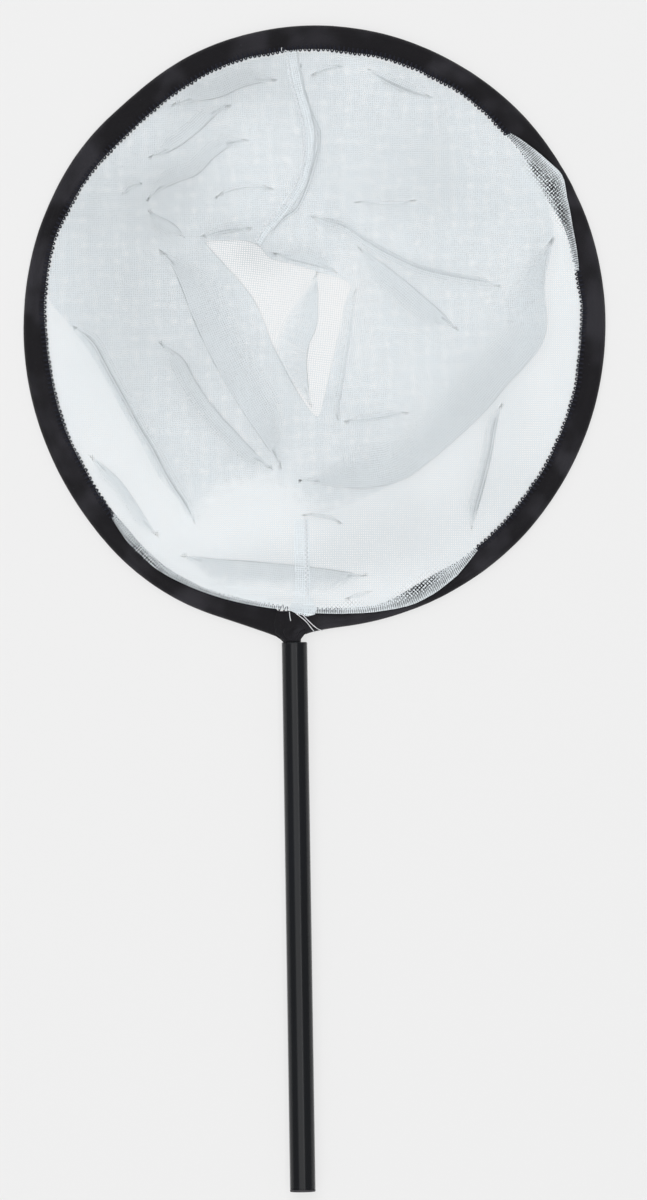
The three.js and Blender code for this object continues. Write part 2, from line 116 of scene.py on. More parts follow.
class Tree:
    """Builds the nodes of one material, or of the world"""

    def __init__(self, owner):
        owner.use_nodes = True
        self.owner = owner
        self.nodes, self.links = owner.node_tree.nodes, owner.node_tree.links
        self.shader = self.nodes.get("Principled BSDF")

    def node(self, kind, settings=(), values=(), output=0):
        """A node of one kind, with its settings and then the values or links of its sockets"""
        made = self.nodes.new(kind)
        for key, value in dict(settings).items():
            setattr(made, key, value)
        for key, value in dict(values).items():
            self.set(made.inputs[key], value)
        return Value(self, made.outputs[output])

    def set(self, socket, value):
        if isinstance(value, Value):
            self.links.new(value.socket, socket)
        else:
            socket.default_value = value

    def maths(self, operation, *values):
        return self.node("ShaderNodeMath", {"operation": operation}, dict(enumerate(values)))

    def sine(self, value):
        return self.maths("SINE", value)

    def parts(self, vector):
        first = self.node("ShaderNodeSeparateXYZ", {}, {0: vector})
        return [Value(self, socket) for socket in first.socket.node.outputs]

    def place(self, scale=(1, 1, 1), turn=(0, 0, 0)):
        """Object coordinates in metres, stretched and turned"""
        place = self.node("ShaderNodeTexCoord", output="Object")
        return self.node("ShaderNodeMapping", {}, {"Vector": place, "Scale": scale, "Rotation": turn})

    def map(self, name):
        return self.node("ShaderNodeUVMap", {"uv_map": name})

    def attribute(self, name):
        return self.node("ShaderNodeAttribute", {"attribute_name": name}, output="Fac")

    def noise(self, vector, scale, detail=2.0, roughness=0.5):
        values = {"Vector": vector, "Scale": scale, "Detail": detail, "Roughness": roughness}
        return self.node("ShaderNodeTexNoise", {}, values)

    def ramp(self, value, low, high):
        """0 at low and 1 at high, smooth between them"""
        values = {"Value": value, "From Min": low, "From Max": high}
        return self.node("ShaderNodeMapRange", {"interpolation_type": "SMOOTHSTEP"}, values)

    def mix(self, share, first, second):
        """From the first colour to the second"""
        values = {MIX_FACTOR: share, MIX_FIRST: first, MIX_SECOND: second}
        return self.node("ShaderNodeMix", {"data_type": "RGBA"}, values, MIX_RESULT)

    def bump(self, height, distance, strength=1.0):
        values = {"Height": height, "Distance": distance, "Strength": strength}
        self.set(self.shader.inputs["Normal"], self.node("ShaderNodeBump", {}, values))

    def finish(self, **values):
        for key, value in values.items():
            self.set(self.shader.inputs[key.replace("_", " ")], value)
        return self.owner


class Value:
    """A socket that sums are written with"""

    def __init__(self, tree, socket):
        self.tree = tree
        self.socket = socket

    def __add__(self, other):
        return self.tree.maths("ADD", self, other)

    __radd__ = __add__

    def __sub__(self, other):
        return self.tree.maths("SUBTRACT", self, other)

    def __rsub__(self, other):
        return self.tree.maths("SUBTRACT", other, self)

    def __mul__(self, other):
        return self.tree.maths("MULTIPLY", self, other)

    __rmul__ = __mul__

    def __truediv__(self, other):
        return self.tree.maths("DIVIDE", self, other)


def rgba(colour, factor=1.0):
    return (*(c * factor for c in colour), 1.0)


# Path of the hoop's wire


def swell(angle, centre, spread):
    """1 at the centre angle, fading away over the spread"""
    apart = (np.asarray(angle, float) - centre + 540) % 360 - 180
    return np.exp(-((apart / spread) ** 2))


def hoop_radius(angle):
    oval = OVAL * np.cos(np.radians(2 * (np.asarray(angle, float) - OVAL_ANGLE)))
    bulge = BULGE * swell(angle, BULGE_ANGLE, BULGE_SPREAD)
    return HOOP_RADIUS + oval + bulge - FLAT * swell(angle, FLAT_ANGLE, FLAT_SPREAD)


def hem_width(angle):
    width = bpy.context.scene.scoop_net.hem_width / MM
    return width - sum(depth * swell(angle, at, spread) for at, depth, spread in HEM_ROLLS)


def hem_inner_radius(angle):
    return hoop_radius(angle) - hem_width(angle)


HOOP_CENTRE = np.array([AXIS_X + HANDLE_OFFSET, MOUTH_Y + float(hoop_radius(270)) + NECK_LENGTH, 0.0])


def polar(angle, radius, z=0.0):
    """Points about the middle of the hoop"""
    a = np.radians(angle)
    return np.stack(np.broadcast_arrays(radius * np.cos(a), radius * np.sin(a), z), axis=-1)


def ring_point(angle):
    """Middle of the wire at an angle"""
    return polar(angle, hoop_radius(angle) - CASING_RADIUS, CASING_RADIUS)


def ring_direction(angle):
    d = ring_point(angle + 0.5) - ring_point(angle - 0.5)
    return d / np.linalg.norm(d)


def bezier(points, t):
    a, b, c, d = points
    u = 1 - t
    return u**3 * a + 3 * u * u * t * b + 3 * u * t * t * c + t**3 * d


def bezier_slope(points, t):
    a, b, c, d = points
    u = 1 - t
    return 3 * (u * u * (b - a) + 2 * u * t * (c - b) + t * t * (d - c))


LEG_TOP = -float(hoop_radius(270)) - NECK_LENGTH + CLEARANCE + WIRE_RADIUS
LEGS_X = -HANDLE_OFFSET - LEGS_SIDE
RIGHT_LEG = np.array([LEGS_X + LEG_SPACING / 2, LEG_TOP, AXIS_Z])
LEFT_LEG = np.array([LEGS_X - LEG_SPACING / 2, LEG_TOP, AXIS_Z])
RIGHT_BEND = (
    RIGHT_LEG,
    RIGHT_LEG + (0, RIGHT_LEG_REACH, 0),
    ring_point(RIGHT_BEND_ANGLE) - RIGHT_BEND_REACH * ring_direction(RIGHT_BEND_ANGLE),
    ring_point(RIGHT_BEND_ANGLE),
)
LEFT_BEND = (
    ring_point(LEFT_BEND_ANGLE),
    ring_point(LEFT_BEND_ANGLE) + LEFT_BEND_REACH * ring_direction(LEFT_BEND_ANGLE),
    LEFT_LEG + (0, LEFT_LEG_REACH, 0),
    LEFT_LEG,
)


def path_frame(s):
    """Place, direction, inward and upward vectors of the wire.

    s goes from 0 to 1 on the right bend, to 2 round the ring, and to 3 on the left bend.
    """
    if s <= 1:
        p, t = bezier(RIGHT_BEND, s), bezier_slope(RIGHT_BEND, s)
    elif s >= 2:
        p, t = bezier(LEFT_BEND, s - 2), bezier_slope(LEFT_BEND, s - 2)
    else:
        angle = RIGHT_BEND_ANGLE + (s - 1) * (LEFT_BEND_ANGLE + 360 - RIGHT_BEND_ANGLE)
        p, t = ring_point(angle), ring_direction(angle)
    t = t / np.linalg.norm(t)
    n = np.array([-t[1], t[0], 0.0])
    n /= np.linalg.norm(n)
    return p, t, n, np.cross(t, n)


def path_frames(start, end, step):
    """Frames about one step apart along the wire, with their distances along it"""
    coarse = np.linspace(start, end, 1600)
    places = np.array([path_frame(s)[0] for s in coarse])
    along = np.concatenate([[0], np.cumsum(np.linalg.norm(np.diff(places, axis=0), axis=1))])
    count = int(round(along[-1] / step))
    distances = np.linspace(0, along[-1], count + 1)
    frames = [path_frame(s) for s in np.interp(distances, along, coarse)]
    return frames, distances


def hem_width_at(p, n):
    """Width of the hem at a place on the wire, with the inward vector there"""
    outer = p - CASING_RADIUS * n
    angle = math.degrees(math.atan2(outer[1], outer[0])) % 360
    return math.hypot(outer[0], outer[1]) - float(hem_inner_radius(angle))


# Meshes


def new_object(name, points, faces, centred=True):
    """A piece from points in millimetres, about the middle of the hoop or already in the frame"""
    points = np.asarray(points, float) + (HOOP_CENTRE if centred else 0)
    mesh = bpy.data.meshes.new(name)
    mesh.from_pydata((points * MM).tolist(), [], [list(map(int, f)) for f in faces])
    mesh.validate()
    mesh.update()
    mesh.shade_smooth()
    made = bpy.data.objects.new(name, mesh)
    bpy.context.scene.collection.objects.link(made)
    return made


def grid_faces(rows, columns, closed=False):
    """Quads of a grid of rows times columns points, closed round each row or open"""
    i, j = np.meshgrid(np.arange(rows - 1), np.arange(columns if closed else columns - 1), indexing="ij")
    j2 = (j + 1) % columns
    low, high = i * columns, (i + 1) * columns
    return np.stack([low + j, low + j2, high + j2, high + j], axis=-1).reshape(-1, 4)


def put_map(piece, name, corners):
    """Corners of the faces in a flat map, in the order of the mesh's loops"""
    layer = piece.data.uv_layers.new(name=name)
    layer.data.foreach_set("uv", np.asarray(corners, np.float32).ravel())


def put_value(piece, name, values):
    """One number for each point of a mesh, for its material"""
    layer = piece.data.attributes.new(name, "FLOAT", "POINT")
    layer.data.foreach_set("value", np.asarray(values, np.float32))


def vertex_map(piece, name, flat):
    """A flat map from one pair of numbers a vertex"""
    loops = np.zeros(len(piece.data.loops), np.int32)
    piece.data.loops.foreach_get("vertex_index", loops)
    put_map(piece, name, np.asarray(flat)[loops])


def finish_with(piece, kind, **settings):
    """Adds a modifier and makes its result the piece's own mesh"""
    modifier = piece.modifiers.new(kind.title(), kind)
    for key, value in settings.items():
        setattr(modifier, key, value)
    bake(piece)


def bake(piece):
    """Makes the result of a piece's modifiers its own mesh"""
    graph = bpy.context.evaluated_depsgraph_get()
    mesh = bpy.data.meshes.new_from_object(piece.evaluated_get(graph))
    piece.modifiers.clear()
    old = piece.data
    piece.data = mesh
    mesh.name = piece.name
    if old.users == 0:
        bpy.data.meshes.remove(old)


def agree_faces(piece):
    """Turns the faces so that neighbours face the same way"""
    work = bmesh.new()
    work.from_mesh(piece.data)
    bmesh.ops.recalc_face_normals(work, faces=work.faces)
    work.to_mesh(piece.data)
    work.free()


def step_between(value, low, high):
    """0 up to low and 1 from high on, smooth between them"""
    t = np.clip((value - low) / (high - low), 0, 1)
    return t * t * (3 - 2 * t)


def ripple(x, y, seed, longest, shortest, count=24):
    """A smooth uneven height between about -1 and 1"""
    random = np.random.default_rng(seed)
    total = np.zeros(np.broadcast(x, y).shape)
    weight = 0.0
    for _ in range(count):
        length = random.uniform(shortest, longest)
        angle, phase = random.uniform(0, 2 * np.pi, 2)
        share = length / longest
        total += share * np.sin(2 * np.pi * (x * np.cos(angle) + y * np.sin(angle)) / length + phase)
        weight += share * share
    return total / math.sqrt(2 * weight)


def smooth_line(points, step, closed=False):
    """Points one step apart along a smooth curve through the given ones"""
    p = np.array(points, float)
    ends = (p[-1:], p[:2]) if closed else (2 * p[:1] - p[1:2], 2 * p[-1:] - p[-2:-1])
    p = np.vstack([ends[0], p, ends[1]])
    t = np.linspace(0, 1, 16, endpoint=False)[:, None]
    pieces = []
    for a, b, c, d in zip(p[:-3], p[1:-2], p[2:-1], p[3:]):
        square, cube = 2 * a - 5 * b + 4 * c - d, 3 * b - a - 3 * c + d
        pieces.append(0.5 * (2 * b + (c - a) * t + square * t**2 + cube * t**3))
    dense = np.vstack([*pieces, p[-2:-1]])
    along = np.concatenate([[0], np.cumsum(np.linalg.norm(np.diff(dense, axis=0), axis=1))])
    count = max(3, int(round(along[-1] / step)))
    wanted = np.linspace(0, along[-1], count + 1)
    line = np.column_stack([np.interp(wanted, along, dense[:, k]) for k in range(dense.shape[1])])
    return line[:-1] if closed else line


def lefts(line):
    """Directions to the left of a flat line, at each of its points"""
    slope = np.gradient(line, axis=0)
    slope /= np.linalg.norm(slope, axis=1)[:, None]
    return np.column_stack([-slope[:, 1], slope[:, 0]])


def inside(points, outline):
    """Which points lie inside a closed outline"""
    x, y = points[:, 0][:, None], points[:, 1][:, None]
    a, b = outline, np.roll(outline, -1, axis=0)
    crosses = (a[:, 1] > y) != (b[:, 1] > y)
    with np.errstate(divide="ignore", invalid="ignore"):
        at = a[:, 0] + (y - a[:, 1]) * (b[:, 0] - a[:, 0]) / (b[:, 1] - a[:, 1])
    return (crosses & (x < at)).sum(axis=1) % 2 == 1


def nearest(points, line, closed=False):
    """Distance from each point to a line, positive on its left, and where along it that is, 0 to 1"""
    a = line
    b = np.roll(line, -1, axis=0) if closed else line[1:]
    a = a if closed else line[:-1]
    d = b - a
    size = (d**2).sum(axis=1)
    best = np.full(len(points), np.inf)
    side, where = np.zeros(len(points)), np.zeros(len(points))
    for k in range(len(a)):
        r = points - a[k]
        t = np.clip((r @ d[k]) / size[k], 0, 1)
        distance = np.linalg.norm(r - t[:, None] * d[k], axis=1)
        closer = distance < best
        best = np.where(closer, distance, best)
        cross = d[k, 0] * r[:, 1] - d[k, 1] * r[:, 0]
        side = np.where(closer, np.sign(cross), side)
        where = np.where(closer, (k + t) / len(a), where)
    return best * np.where(side == 0, 1, side), where


# Net bag. All lines are in millimetres from the middle of the hoop, +Y away from the handle.

# Distance between the points of a sheet
NET_STEP = 2.6
# Height of the lowest layer and how far it wanders, and the least height between two layers
BED, BED_SPREAD = 0.35, 0.3
LAYER_GAP = 0.45
# Where the layers are sewn in, from the hem's inner edge, and over what distance they climb to it
RIM_SEAM = 0.8
RIM_FADE = 4.0
RIM_HEIGHT = 1.25
# How much thinner the two layers underneath look, and the sheet under a pleat
LOW_THIN = 0.4
HIDDEN_THIN = 0.8
# Height of one of a pleat's three layers, the distance over which it fades, and its full width
PLEAT_RISE = 0.29
PLEAT_FADE = 7.0
PLEAT_FULL = 6.0
# How many such heights a pleat lifts what lies on it, and what a second pleat near by adds to the climb
PLEAT_LIFT, SECOND_CLIMB = 2.3, 0.35
# How far from a pleat it is looked for, and how near a point counts as on its line
REACH = 30.0
ON_LINE = 0.002
# The layers underneath thin out towards their edge: how much, over what distance, and what comes on top of
# both near the handle, about an angle
FADE, FADE_WIDTH = 0.42, 9
NEAR_FADE, NEAR_FADE_WIDTH, NEAR_FADE_ANGLE, NEAR_FADE_SPREAD = 0.53, 15, 252, 24
# How much the layers of a pleat close the mesh and darken its colour with painted shade. Pleats wider than
# BAND_WIDTH do so less.
BAND, BAND_WIDTH, BAND_EDGE = 0.27, 9, 1.8
# How sharply the stretched places open
THIN_CONTRAST = 1.3
# The hem's climb along the wire to the handle: angle, spread and height
CLIMB_ANGLE, CLIMB_SPREAD, CLIMB = 264, 7, 2.6

# Where each sheet and strip lies in the flat cut, in metres
TOP_MAP, MIDDLE_MAP, LOW_MAP = (0.17, 0.17), (0.47, 0.17), (0.17, 0.47)
TOP_PLEAT_MAP, LOW_PLEAT_MAP = (0.34, 0.42), (0.34, 0.36)
WINDOW_MAP, UNDER_EDGE_MAP, RIM_MAP = (0.66, 0.34), (0.66, 0.36), (0.66, 0.38)
MIDDLE_TURN, LOW_TURN = -0.16, 0.12

# Edge of the opening in the upper layer, through which a single layer shows
WINDOW = [
    (-54, 43), (-45.5, 44), (-36.5, 44), (-27.5, 41.5), (-21.5, 35), (-11.5, 32), (3, 27.5), (18, 21.5),
    (16, 12.5), (13.5, 1), (10.5, -11.5), (7.5, -24), (4.5, -36.5), (2, -45), (-1.5, -44), (-6.5, -37),
    (-11.5, -28.5), (-16, -19.5), (-21.5, -8.5), (-25, 1.5), (-29.5, 12), (-34.5, 19.5), (-39.5, 25.5),
    (-46.5, 33.5),
]

# Outer edge of the two layers underneath, where it isn't at the rim
UNDER_EDGE = [
    (120, 46), (114.5, 17), (115.5, -0.5), (111, -13), (101, -23), (93.5, -31.5), (83, -44), (71, -55),
    (55.5, -67.5), (41.5, -77), (21.5, -86.5), (1.5, -93), (-13.5, -88.5), (-33.5, -81.5), (-51, -85.5),
    (-61, -98),
    (-69.5, -85), (-78.5, -74), (-86.5, -58.5), (-99, -35.5), (-109.5, -15.5), (-122, 2.5),
]

# Pleats: the width of each, positive to the left of its line, and the line of its upper fold. The later lie
# on the earlier.
PLEATS = [
    (10.5, [(-71.5, 111.5), (-55.5, 113.5), (-44.5, 115.5), (-33, 120.5), (-15.5, 124)]),
    (8, [(-83, 85.5), (-73.5, 87.5), (-65.5, 91.5), (-55.5, 99), (-45.5, 108.5), (-39, 112)]),
    (4.5, [(-95.5, 67), (-90, 70.5), (-84, 72.5)]),
    (2, [(-50, 64.5), (-42, 67.5), (-32, 69.5), (-18, 69)]),
    (3.5, [(-1, 125), (7, 127), (17.5, 130)]),
    (6, [(27, 129.5), (37, 121), (50.5, 115), (62, 113.5)]),
    (2.5, [(19.5, 62), (32.5, 60), (43.5, 60), (53.5, 63)]),
    (-11.5, [(21, 40), (27, 36.5), (36, 30), (45.5, 22.5), (55.5, 13.5), (65.5, 4.5), (72.5, -4)]),
    (-5, [(-3, 55.5), (4.5, 54.5), (16, 51.5), (27.5, 43.5), (38.5, 37), (53, 30), (70.5, 25.5), (85.5, 22.5),
          (94.5, 17.5)]),
    (9.5, [(-21.5, 37.5), (-13, 34), (2, 30), (13, 26)]),
    (-3.5, [(21.5, 20.5), (20, 6), (17.5, -9), (14.5, -26.5), (11.5, -41.5), (11, -48.5)]),
    (4, [(12.5, -47.5), (23, -48), (33, -47), (42, -45), (48, -43.5)]),
    (-21, [(120, 44), (116, 29.5), (115.5, 12), (116.5, -0.5), (112.5, -12.5), (103, -23.5), (96, -30.5),
           (84, -44.5),
           (71.5, -56), (56.5, -68.5), (41.5, -78), (21.5, -81), (1.5, -79), (-10.5, -76)]),
    (-6, [(93.5, -38.5), (90.5, -50), (88, -63.5), (84.5, -77.5), (80.5, -91.5), (76.5, -104.5)]),
    (20, [(-78, 41), (-72, 33), (-67, 22.5), (-59.5, 2), (-50, -18.5), (-39, -38), (-28, -55), (-16.5, -72)]),
    (8.5, [(-84, 63.5), (-76, 69), (-67.5, 73), (-57, 77), (-49, 85), (-40, 91), (-30, 94)]),
    (-9, [(-83, 60), (-77, 56.5), (-69, 52), (-63.5, 45)]),
    (5.5, [(-58, 45.5), (-52, 46), (-45.5, 46.8), (-35.5, 48.5), (-29, 50.5)]),
    (-5, [(-5, 133), (-4, 124), (-1.5, 114), (1.5, 105), (4.5, 98), (4.5, 91), (3, 84), (0, 74), (-4, 64),
          (-8, 57.5), (-14, 53.5), (-18.5, 48.5), (-22, 43.5)]),
    (-8.5, [(-79, -6), (-71.5, -10.5), (-65.5, -15.5), (-60.5, -25), (-54, -35.5), (-47, -44.5), (-40, -52),
            (-31, -62), (-21, -72)]),
    (5.5, [(-122, 3), (-117.5, -1), (-111, -8), (-105.5, -18.5), (-97, -34.5), (-89.5, -49), (-82.5, -61),
           (-76, -74),
           (-68.5, -86), (-60.5, -99)]),
    (-7, [(-115, -62), (-109, -65.5), (-99, -74.5), (-92, -84), (-85, -95.5), (-79, -105)]),
    (-13.5, [(-70, -113.5), (-62, -114), (-49, -115.5), (-31.5, -117), (-12, -119), (6, -121.5), (26, -125)]),
    (2.5, [(-9, -93.9), (1.5, -95.5), (14, -99.2)]),
    (2.5, [(12, -136.5), (20, -135.5), (28, -132.5)]),
]

# The same in the lowest layer: a tuck that shows through the opening
LOW_PLEATS = [
    (-17, [(1.5, 30), (2, 16.5), (1.5, 1.5), (-2.5, -8.5), (-4, -16), (-3.5, -28.5), (-2, -42)]),
]

# Line between the two panels, from the far rim to the near one
SEAM_LINE = [
    (-7, 150), (-6, 124), (-4, 112.5), (-0.5, 103), (1.5, 96), (1.5, 88), (-0.5, 79), (-4, 70), (-9, 61),
    (-16, 54), (-21, 46), (-25, 37), (-15, -30), (-7, -60), (-7.5, -98.5), (-8, -113.5), (-7.5, -150),
]

# Stretches where the net is slack and laps over the hem: angle, and millimetres over the hem's inner edge
RIM_LAPS = [
    [(8, 0), (13, 1.5), (20, 3.5), (26, 6.5), (29.5, 9.2), (31, 9.6), (34, 7.5), (38, 5.0), (42, 2.4),
     (45, 0)],
    [(219, 0), (224, 1.3), (229, 2.4), (235, 2.2), (242, 1.4), (250, 1.6), (262, 1.9),
     (266, 2.2), (270, 2.4), (277, 2.2), (283, 2.8), (289, 4.6), (294, 4.9), (299, 4.2), (304, 1.6),
     (307, 0)],
]

# Cross-section of such a lap: share of its reach, height above the hem, crease (painted shade in the fold's
# colour), and how open the mesh is
RIM_SECTION = [
    (0.1, 0.8, 0, 0.1), (0.3, 0.75, 0, 0.3), (0.6, 0.7, 0, 0.3), (0.85, 0.65, 0, 0.1), (0.96, 0.6, 0.4, 0),
    (1, 0.45, 0.8, 0), (0.95, 0.3, 0.4, 0.1), (0.75, 0.3, 0, 0.6), (0.5, 0.3, 0, 0.75), (0.2, 0.3, 0, 0.75),
]

# Places where the mesh is bunched up, or slack and thin: x, y, radius across and along, turn in degrees,
# amount. The same amount darkens the net's colour there with painted shade, and lightens it below 0
BUNCHES = [
    (-95, 25, 34, 50, 0, 0.45), (-60, -20, 26, 60, 28, 0.3), (-100, -70, 22, 30, 0, 0.12),
    (-45, -92, 30, 14, 0, -0.2), (60, -50, 20, 55, -50, 0.2), (95, -70, 30, 60, -25, 0.25),
    (40, 110, 50, 22, 0, 0.1), (-35, 118, 40, 14, 10, 0.4), (48, 31, 50, 12, -36, -0.12),
    (-10, -20, 26, 50, 10, 0.1), (-20, -118, 60, 10, 0, 0.25), (118, 70, 18, 30, 0, 0.1),
    (20, -108, 34, 22, 0, 0.5), (-110, 70, 22, 34, -35, 0.3), (50, 70, 50, 30, 0, 0.2),
    (-74, 66, 26, 20, 25, 0.55), (-44, 127, 32, 12, 18, 0.5), (-30, 36, 16, 10, -30, 0.9),
    (52, -98, 34, 20, 10, 0.35), (-30, -119, 50, 8, 0, 0.1), (18, 10, 12, 26, 0, -0.5),
    (95, -86, 22, 22, 0, 0.25),
]

# The net doubled where it laps over the hem, given in the same way
LAPPED = [
    (116, 70, 9, 17, 33, 1.2), (50, -133, 26, 6, 29, 1.1), (-92, -113, 30, 4.5, -41, 1.0),
    (-34, -135, 24, 4, -20, 0.9), (14, -142, 18, 4, 6, 1.0),
]

# Places by the rim where the mesh is stretched open over the black hem, given in the same way
THIN = [
    (112, 76.5, 6, 3, -54, 0.8), (119.5, 68, 4, 5.5, 30, 0.9), (124.2, 55.0, 2.8, 10, 22, 0.8),
    (51, -130.8, 13, 3.4, 29.8, 0.9), (16.9, -138.6, 4, 1.6, 8, 0.5), (7.9, -141.2, 6, 1.5, 5, 0.4),
    (-91, -111, 22, 2.8, -41, 0.8),
]

# How far the hem's lower edge reaches past its upper one: angle, millimetres, and spread in degrees
LOWER_FLAP = [(30, 2.6, 9), (229, 1.8, 12), (292, 3.4, 8)]


# Round edge between two layers: share of the way down, millimetres outwards, and crease (painted shade in the
# fold's colour)
EDGE_SECTION = [(0.1, 0.25, 0.2), (0.35, 0.35, 0.4), (0.65, 0.35, 0.4), (0.9, 0.25, 0.2)]


def spread_over(points, places):
    """Sum of soft oval patches"""
    total = np.zeros(len(points))
    for x, y, across, along, turn, amount in places:
        c, s = math.cos(math.radians(turn)), math.sin(math.radians(turn))
        dx, dy = points[:, 0] - x, points[:, 1] - y
        total += amount * np.exp(-(((dx * c + dy * s) / across) ** 2) - ((dy * c - dx * s) / along) ** 2)
    return total


# Cross-section of a pleat: share of its width, millimetres added to that, height in rises, crease (painted
# shade in the fold's colour, and a closer mesh), and how open the mesh is
PLEAT_SECTION = [
    (0, 0, 2, 0, 0), (0.25, 0, 2, 0, 0), (0.5, 0, 2, 0.05, 0), (0.75, 0, 2, 0.15, 0), (1, -1.5, 2.05, 0.5, 0),
    (1, -0.7, 2.1, 0.8, 0), (1, -0.2, 2.0, 1, 0.2), (1, 0.0, 1.65, 1, 0.5), (1, -0.2, 1.3, 1, 0.5),
    (1, -0.8, 1.1, 0.8, 0.2), (1, -1.7, 1.05, 0.4, 0), (0.75, 0, 1, 0.1, 0.1), (0.5, 0, 0.9, 0, 0.5),
    (0.25, 0, 0.6, 0, 0.95), (0.08, 0, 0.3, 0, 1), (0, 0, 0, 0, 1),
]


class Pleat:
    """A fold of three layers: the sheet runs on over itself from the foot to the line, back and on again"""

    def __init__(self, width, line):
        self.line = smooth_line(line, NET_STEP)
        share = np.linspace(0, 1, len(self.line))
        length = NET_STEP * (len(self.line) - 1)
        from_end = np.minimum(share, 1 - share) * length
        narrows = min(length * 0.45, 6 + 1.3 * abs(width))
        self.width = abs(width) * step_between(from_end, -0.5, narrows)
        self.width[[0, -1]] = 0
        self.side = math.copysign(1, width)
        self.foot = self.line + lefts(self.line) * self.side * self.width[:, None]
        self.full = np.minimum(1, self.width / PLEAT_FULL)

    def near(self, points):
        """Distance from the foot, negative under the pleat, with the pleat's width and fullness there"""
        distance, where = np.full(len(points), self.side * REACH), np.zeros(len(points))
        low, high = self.foot.min(axis=0) - REACH, self.foot.max(axis=0) + REACH
        close = ((points > low) & (points < high)).all(axis=1)
        if close.any():
            distance[close], where[close] = nearest(points[close], self.foot)
        share = np.linspace(0, 1, len(self.line))
        width = np.interp(where, share, self.width)
        full = np.interp(where, share, self.full)
        return distance * self.side, width, full


def turned(first, second):
    """Angle from the first direction to the second, to the left"""
    return (math.atan2(second[1], second[0]) - math.atan2(first[1], first[0])) % math.tau


class Layer:
    """One layer of the net: a flat outline cut into triangles, with the feet of its pleats slit open"""

    def __init__(self, outer, hole, pleats, seed):
        self.pleats = [Pleat(width, line) for width, line in pleats]
        random = np.random.default_rng(seed)
        low, high = outer.min(axis=0), outer.max(axis=0)
        across = np.arange(low[0], high[0], NET_STEP)
        up = np.arange(low[1], high[1], NET_STEP * 0.87)
        x, y = np.meshgrid(across, up)
        x = x + (np.arange(len(up)) % 2)[:, None] * NET_STEP / 2
        loose = np.column_stack([x.ravel(), y.ravel()]) + random.uniform(-0.35, 0.35, (x.size, 2))
        rounds = [outer] if hole is None else [outer, hole]
        lines = [(line, True) for line in rounds] + [(pleat.foot, False) for pleat in self.pleats]
        fixed = np.vstack([line for line, _ in lines])
        keep = self.covers(loose, rounds)
        for line, closed in lines:
            keep &= np.abs(nearest(loose, line, closed)[0]) > 0.45 * NET_STEP
        loose = loose[keep]
        edges, starts, at = [], [], 0
        for line, closed in lines:
            n = len(line)
            starts.append(at)
            edges += [(at + i, at + (i + 1) % n) for i in range(n if closed else n - 1)]
            at += n
        found = geometry.delaunay_2d_cdt([Vector(p) for p in np.vstack([fixed, loose])], edges, [], 0, 1e-5)
        self.flat = np.array([v[:] for v in found[0]])
        self.faces = np.array(found[2])
        if len(self.flat) != len(fixed) + len(loose):
            raise RuntimeError("the lines of the net's folds cross")
        number = {original: k for k, names in enumerate(found[3]) for original in names}
        chains = [
            np.array([number[start + i] for i in range(len(line))]) for (line, _), start in zip(lines, starts)
        ]
        self.faces = self.faces[self.covers(self.flat[self.faces].mean(axis=1), rounds)]
        self.outer = chains[0]
        self.hole = chains[1] if hole is not None else None
        self.slit(chains[-len(self.pleats):] if self.pleats else [])

    def covers(self, points, rounds):
        """Which points lie inside the sheet's outline and outside its opening"""
        found = inside(points, rounds[0])
        for opening in rounds[1:]:
            found &= ~inside(points, opening)
        return found

    def slit(self, chains):
        """Parts the sheet along the foot of each pleat: the side under the pleat gets points of its own"""
        self.under = []
        for pleat, chain in zip(self.pleats, chains):
            inner = chain[1:-1]
            twin = {int(old): len(self.flat) + k for k, old in enumerate(inner)}
            self.flat = np.vstack([self.flat, self.flat[inner]])
            place = {int(v): k for k, v in enumerate(chain)}
            for f in np.flatnonzero(np.isin(self.faces, inner).any(axis=1)):
                at = next(int(v) for v in self.faces[f] if int(v) in twin)
                here, k = self.flat[at], place[at]
                ahead = self.flat[chain[k + 1]] - here
                behind = self.flat[chain[k - 1]] - here
                middle = self.flat[self.faces[f]].mean(axis=0) - here
                if (turned(ahead, middle) < turned(ahead, behind)) != (pleat.side > 0):
                    self.faces[f] = [twin.get(int(v), int(v)) for v in self.faces[f]]
            pleat.chain = chain
            pleat.twins = np.array([chain[0], *twin.values(), chain[-1]])
            self.under.append(pleat.twins[1:-1])

    def masks(self):
        """For each pleat, which points are its foot's lower twins"""
        masks = np.zeros((len(self.under), len(self.flat)), bool)
        for mask, under in zip(masks, self.under):
            mask[under] = True
        return masks

    def rise(self, points, under=None):
        """How much the sheet climbs towards the feet of its pleats"""
        total = np.zeros(len(points))
        for k, pleat in enumerate(self.pleats):
            distance, _, full = pleat.near(points)
            climb = 2 * PLEAT_RISE * full * np.exp(-((distance / PLEAT_FADE) ** 2)) * (distance > -ON_LINE)
            if under is not None:
                climb[under[k]] = 0
            total = np.maximum(total, climb) + SECOND_CLIMB * np.minimum(total, climb)
        return total

    def openness(self, points, under):
        """The sheet under a pleat thins out towards the foot, so that only the fold's own edge shows"""
        total = np.zeros(len(points))
        for k, pleat in enumerate(self.pleats):
            distance, width, full = pleat.near(points)
            hidden = (distance < -ON_LINE) & (-distance < width)
            part = (1 - step_between(-distance, 0, 0.6 * np.maximum(width, 0.1))) * np.minimum(1, full * 3)
            total = np.maximum(total, np.where(hidden, HIDDEN_THIN * part, 0))
            total[under[k]] = step_between(pleat.width[1:-1], 0.3, 3.2)
        return total

    def lift(self, points, before):
        """How much the earlier pleats lift what lies on them"""
        total = np.zeros(len(points))
        for pleat in self.pleats[:before]:
            distance, width, full = pleat.near(points)
            under = -distance
            part = step_between(under, -0.5, 1.0) * (1 - step_between(under, width + 0.3, width + 2.5))
            total += PLEAT_LIFT * PLEAT_RISE * full * part
        return total


